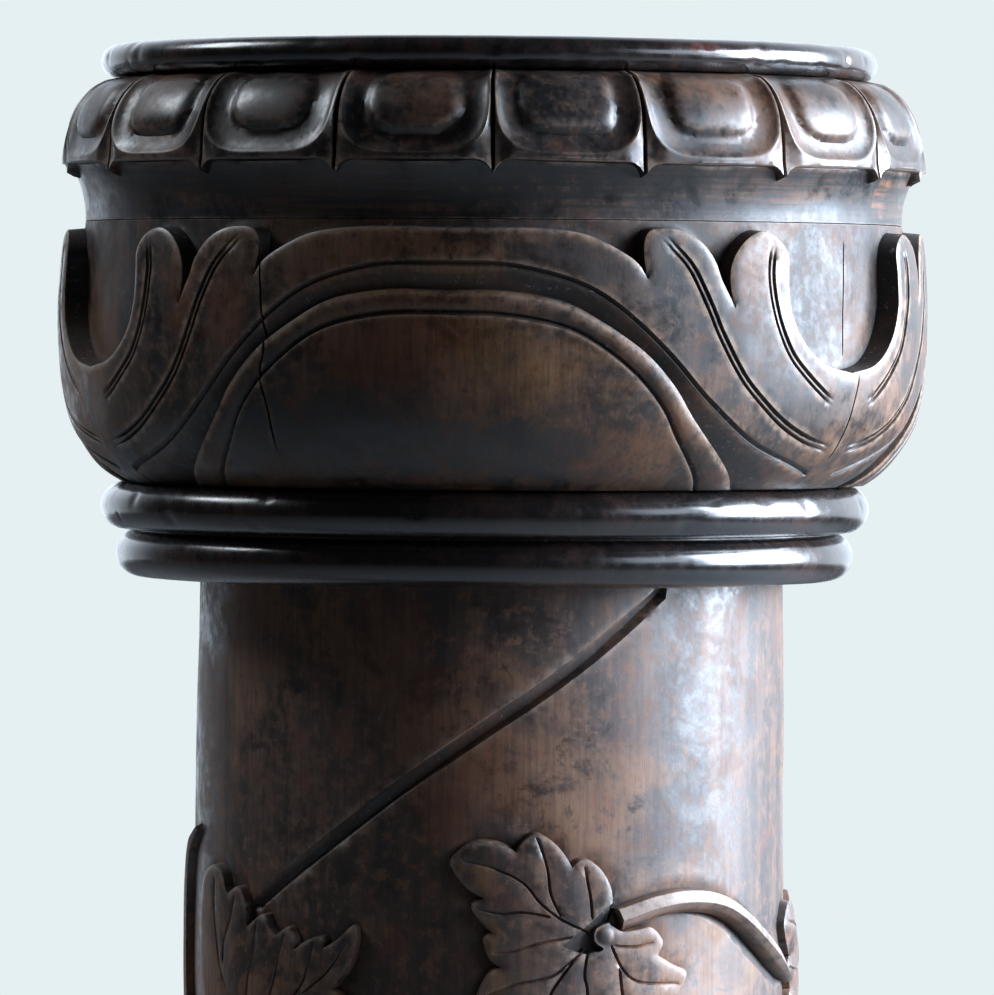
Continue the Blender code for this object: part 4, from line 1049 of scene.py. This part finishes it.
def wood(name, deep, body, warm, worn_and_highlight, gloss, red_patches, pores, coat, stains_and_shadow=(), turned_below=0):
    """Stained and waxed hardwood with upright grain: blotches, streaks, pores, rubbed edges with a painted
    highlight, and dirt with painted shade.

    Each stain and painted shadow is (angle in degrees, height, distance from the axis, half its width, half
    its height, colour, strength). Under the height turned_below, lines run round the piece as a turning tool
    leaves them.
    """
    nodes = Nodes(name)
    along = nodes.scaled((1, 1, 0.10))
    fibre = nodes.scaled((1, 1, 0.045))
    hollow = nodes.add("ShaderNodeAttribute", attribute_name="hollow").outputs["Fac"]
    blotch = nodes.noise(nodes.place, 16, 5, 0.6, 0.6)
    patch = nodes.noise(nodes.place, 42, 5, 0.65, 0.8)
    streak = nodes.noise(along, 95, 5, 0.62)
    line = nodes.noise(fibre, 620, 3, 0.6)
    pore = nodes.between(nodes.noise(nodes.scaled((1, 1, 0.07)), 2400, 1, 0.5), 0.62, 0.72)
    mottle = nodes.noise(nodes.place, 230, 4, 0.7)
    speck = nodes.noise(nodes.place, 1300, 2, 0.6)

    colour = nodes.mix(nodes.between(streak, 0.38, 0.62), deep, body)
    colour = nodes.mix(nodes.between(blotch, 0.46, 0.64, 0, 0.85), colour, warm)
    colour = nodes.mix(nodes.between(patch, 0.54, 0.70, 0, red_patches), colour, RED_PATCH)
    colour = nodes.mix(nodes.between(patch, 0.48, 0.34, 0, 0.85), colour, deep)
    colour = nodes.mix(nodes.between(mottle, 0.50, 0.66, 0, 0.5), colour, warm)
    colour = nodes.mix(nodes.between(mottle, 0.46, 0.34, 0, 0.6), colour, deep)
    for angle, height, reach, half_width, half_height, tint, strength in stains_and_shadow:
        middle = wrap(radians(angle), reach, height)[0]
        node = nodes.add("ShaderNodeMapping")
        scale = np.array([1 / half_width, 1 / half_width, 1 / half_height])
        nodes.put(node.inputs["Vector"], nodes.place)
        nodes.put(node.inputs["Location"], tuple(-middle * scale))
        nodes.put(node.inputs["Scale"], tuple(scale))
        size = nodes.add("ShaderNodeVectorMath", operation="LENGTH")
        nodes.put(size.inputs[0], node.outputs["Vector"])
        ragged = nodes.math("ADD", size.outputs["Value"], nodes.between(patch, 0.3, 0.7, -0.45, 0.45))
        colour = nodes.mix(nodes.between(ragged, 1.15, 0.55, 0, strength), colour, tint)
    colour = nodes.mix(nodes.between(line, 0.42, 0.66, 0, 0.35), colour, deep)
    turning = nodes.noise(nodes.scaled((0.03, 0.03, 1)), 520, 4, 0.7)
    if turned_below:
        below = nodes.add("ShaderNodeSeparateXYZ")
        nodes.put(below.inputs[0], nodes.place)
        here = nodes.between(below.outputs["Z"], turned_below + 0.001, turned_below - 0.002, 0, 0.8)
        turning = nodes.math("MULTIPLY", here, turning)
        colour = nodes.mix(nodes.between(turning, 0.30, 0.50), colour, deep)
    # Rubbed edges are lighter, and brightened further as a painted highlight
    on_edge = nodes.between(hollow, -0.03, -0.16)
    edge = nodes.math("MULTIPLY", on_edge, nodes.between(mottle, 0.36, 0.56, 0.3, 1))
    colour = nodes.mix(edge, colour, worn_and_highlight)
    colour = nodes.mix(nodes.math("MULTIPLY", pore, pores), colour, PORE_COLOUR)
    # Painted shade and dirt: concave places, read from the hollow attribute, are darkened
    dirt_and_shade = nodes.between(hollow, 0.08, 0.28, 0, 0.85)
    # The laid attribute: dark joints, which are dirt, and painted shade in cuts, grooves, the bowl's channel
    # and ground, the stalk's pit and under stems
    laid = nodes.add("ShaderNodeAttribute", attribute_name="dirt_and_shade").outputs["Fac"]
    laid = nodes.math("MULTIPLY", laid, nodes.between(patch, 0.35, 0.60, 1, 0.75))
    dirt_and_shade = nodes.math("MAXIMUM", dirt_and_shade, laid)
    dust = nodes.between(nodes.noise(nodes.place, 420, 3, 0.7), 0.60, 0.70)
    colour = nodes.mix(dirt_and_shade, colour, nodes.mix(dust, DIRT_AND_SHADE_COLOUR, DUST_COLOUR))
    nodes.put(nodes.shader.inputs["Base Color"], colour)

    rough = nodes.between(mottle, 0.34, 0.66, gloss * 0.82, gloss * 1.24)
    rough = nodes.math("ADD", rough, nodes.between(patch, 0.36, 0.62, gloss * -0.18, gloss * 0.30))
    rough = nodes.math("SUBTRACT", rough, nodes.math("MULTIPLY", edge, gloss * 0.3))
    rough = nodes.math("ADD", rough, nodes.math("MULTIPLY", dirt_and_shade, 0.3))
    nodes.put(nodes.shader.inputs["Roughness"], rough)
    coat_weight, coat_roughness = coat
    nodes.put(nodes.shader.inputs["Coat Weight"], coat_weight)
    nodes.put(nodes.shader.inputs["Coat Roughness"], coat_roughness)
    nodes.put(nodes.shader.inputs["Specular IOR Level"], 0.5)

    height = nodes.math("ADD", nodes.math("MULTIPLY", line, 0.45), nodes.math("MULTIPLY", mottle, 0.7))
    height = nodes.math("ADD", height, nodes.math("MULTIPLY", speck, 0.35))
    height = nodes.math("SUBTRACT", height, nodes.math("MULTIPLY", pore, pores * 0.5))
    height = nodes.math("ADD", height, nodes.math("MULTIPLY", streak, 1.0))
    if turned_below:
        height = nodes.math("ADD", height, nodes.math("MULTIPLY", turning, 0.8))
    bump = nodes.add("ShaderNodeBump")
    nodes.put(bump.inputs["Height"], height)
    nodes.put(bump.inputs["Strength"], 0.5)
    nodes.put(bump.inputs["Distance"], 0.00012 * gloss / 0.5)
    nodes.put(nodes.shader.inputs["Normal"], bump.outputs["Normal"])
    return nodes.material


def floor_paint():
    """Matt pale paint that throws little light back up at the column."""
    nodes = Nodes("floor_paint")
    grain = nodes.noise(nodes.place, 30, 3, 0.6)
    seen = nodes.mix(grain, (0.76, 0.80, 0.81, 1), (0.80, 0.84, 0.85, 1))
    path = nodes.add("ShaderNodeLightPath")
    glossy = nodes.math("MULTIPLY", path.outputs["Is Glossy Ray"], FLOOR_SEEN_IN_GLOSS)
    sent = nodes.math("MAXIMUM", path.outputs["Is Diffuse Ray"], glossy)
    nodes.put(nodes.shader.inputs["Base Color"], nodes.mix(sent, seen, FLOOR_DARK))
    nodes.put(nodes.shader.inputs["Roughness"], 0.8)
    nodes.put(nodes.shader.inputs["Specular IOR Level"], 0.1)
    return nodes.material


def add_light(name, place, aim, size, power, colour):
    """A soft rectangular light."""
    light = bpy.data.lights.new(name, "AREA")
    light.shape = "RECTANGLE"
    light.size, light.size_y = size
    light.energy = power
    light.color = colour
    lamp = bpy.data.objects.new(name, light)
    lamp.location = place
    lamp.rotation_euler = (Vector(aim) - Vector(place)).to_track_quat("-Z", "Y").to_euler()
    bpy.context.scene.collection.objects.link(lamp)


def make_stage():
    """A pale floor, a pale surrounding, window light from the right and the camera."""
    mesh = bpy.data.meshes.new("floor")
    mesh_data = bmesh.new()
    bmesh.ops.create_circle(mesh_data, cap_ends=True, radius=6, segments=96)
    mesh_data.to_mesh(mesh)
    mesh_data.free()
    floor = bpy.data.objects.new("floor", mesh)
    mesh.materials.append(floor_paint())
    bpy.context.scene.collection.objects.link(floor)

    world = bpy.data.worlds.new("studio")
    bpy.context.scene.world = world
    world.use_nodes = True
    tree = world.node_tree
    seen = tree.nodes["Background"]
    seen.inputs["Color"].default_value = (0.79, 0.87, 0.89, 1)
    seen.inputs["Strength"].default_value = 1.0
    bpy.context.scene.view_settings.view_transform = "Standard"
    lighting = tree.nodes.new("ShaderNodeBackground")
    lighting.inputs["Color"].default_value = (0.78, 0.88, 1.0, 1)
    direction = tree.nodes.new("ShaderNodeSeparateXYZ")
    tree.links.new(tree.nodes.new("ShaderNodeTexCoord").outputs["Generated"], direction.inputs["Vector"])
    behind = tree.nodes.new("ShaderNodeMapRange")
    behind.interpolation_type = "SMOOTHSTEP"
    for key, value in (("From Min", 0.20), ("From Max", 1.02), ("To Min", 0.022), ("To Max", 1.9)):
        behind.inputs[key].default_value = value
    leaning = tree.nodes.new("ShaderNodeMath")
    leaning.operation = "MULTIPLY_ADD"
    leaning.inputs[1].default_value = 0.30
    tree.links.new(direction.outputs["X"], leaning.inputs[0])
    tree.links.new(direction.outputs["Y"], leaning.inputs[2])
    tree.links.new(leaning.outputs["Value"], behind.inputs["Value"])
    tree.links.new(behind.outputs["Result"], lighting.inputs["Strength"])
    which = tree.nodes.new("ShaderNodeMixShader")
    tree.links.new(tree.nodes.new("ShaderNodeLightPath").outputs["Is Camera Ray"], which.inputs["Fac"])
    tree.links.new(lighting.outputs["Background"], which.inputs[1])
    tree.links.new(seen.outputs["Background"], which.inputs[2])
    tree.links.new(which.outputs["Shader"], tree.nodes["World Output"].inputs["Surface"])

    for name, place, size, power, colour in WINDOWS:
        add_light(name, place, LIGHT_AIM, size, power, colour)

    camera = bpy.data.objects.new("camera", bpy.data.cameras.new("camera"))
    camera.data.sensor_width = 36
    camera.data.lens = CAMERA_LENS
    camera.location = CAMERA_PLACE
    camera.rotation_euler = (Vector(CAMERA_AIM) - camera.location).to_track_quat("-Z", "Y").to_euler()
    camera.rotation_euler.rotate_axis("Z", CAMERA_ROLL)
    bpy.context.scene.collection.objects.link(camera)
    bpy.context.scene.camera = camera


def main():
    lip_bottom = level("egg_moulding")[1] - EGG_HEIGHT - EGG_LIP_HEIGHT
    eggs = wood("egg_wood_look", (0.007, 0.006, 0.006, 1), (0.034, 0.020, 0.015, 1),
                (0.120, 0.054, 0.026, 1), (0.27, 0.20, 0.16, 1), 0.42, 0.3, 0.3, (0.28, 0.30), EGG_STAINS,
                lip_bottom)
    carved = wood("carved_wood_look", (0.010, 0.006, 0.005, 1), (0.062, 0.030, 0.016, 1),
                  (0.175, 0.080, 0.036, 1), (0.30, 0.20, 0.14, 1), 0.46, 0.35, 0.4, (0.22, 0.45), BOWL_STAINS_AND_SHADOW)
    shaft = wood("shaft_wood_look", (0.022, 0.012, 0.010, 1), (0.105, 0.053, 0.034, 1),
                 (0.240, 0.112, 0.055, 1), (0.30, 0.215, 0.17, 1), 0.50, 0.45, 0.3, (0.5, 0.55), SHAFT_STAINS)
    turned_wood = wood("turned_wood_look", (0.005, 0.005, 0.005, 1), (0.012, 0.009, 0.009, 1),
                       (0.030, 0.015, 0.012, 1), (0.07, 0.045, 0.035, 1), 0.22, 0.2, 0.25, (0.5, 0.20),
                       RIM_STAINS)
    make_rim(turned_wood)
    make_eggs(eggs)
    make_bowl(carved)
    make_neck(turned_wood)
    make_shaft(shaft)
    make_base(turned_wood, carved)
    make_stage()


main()
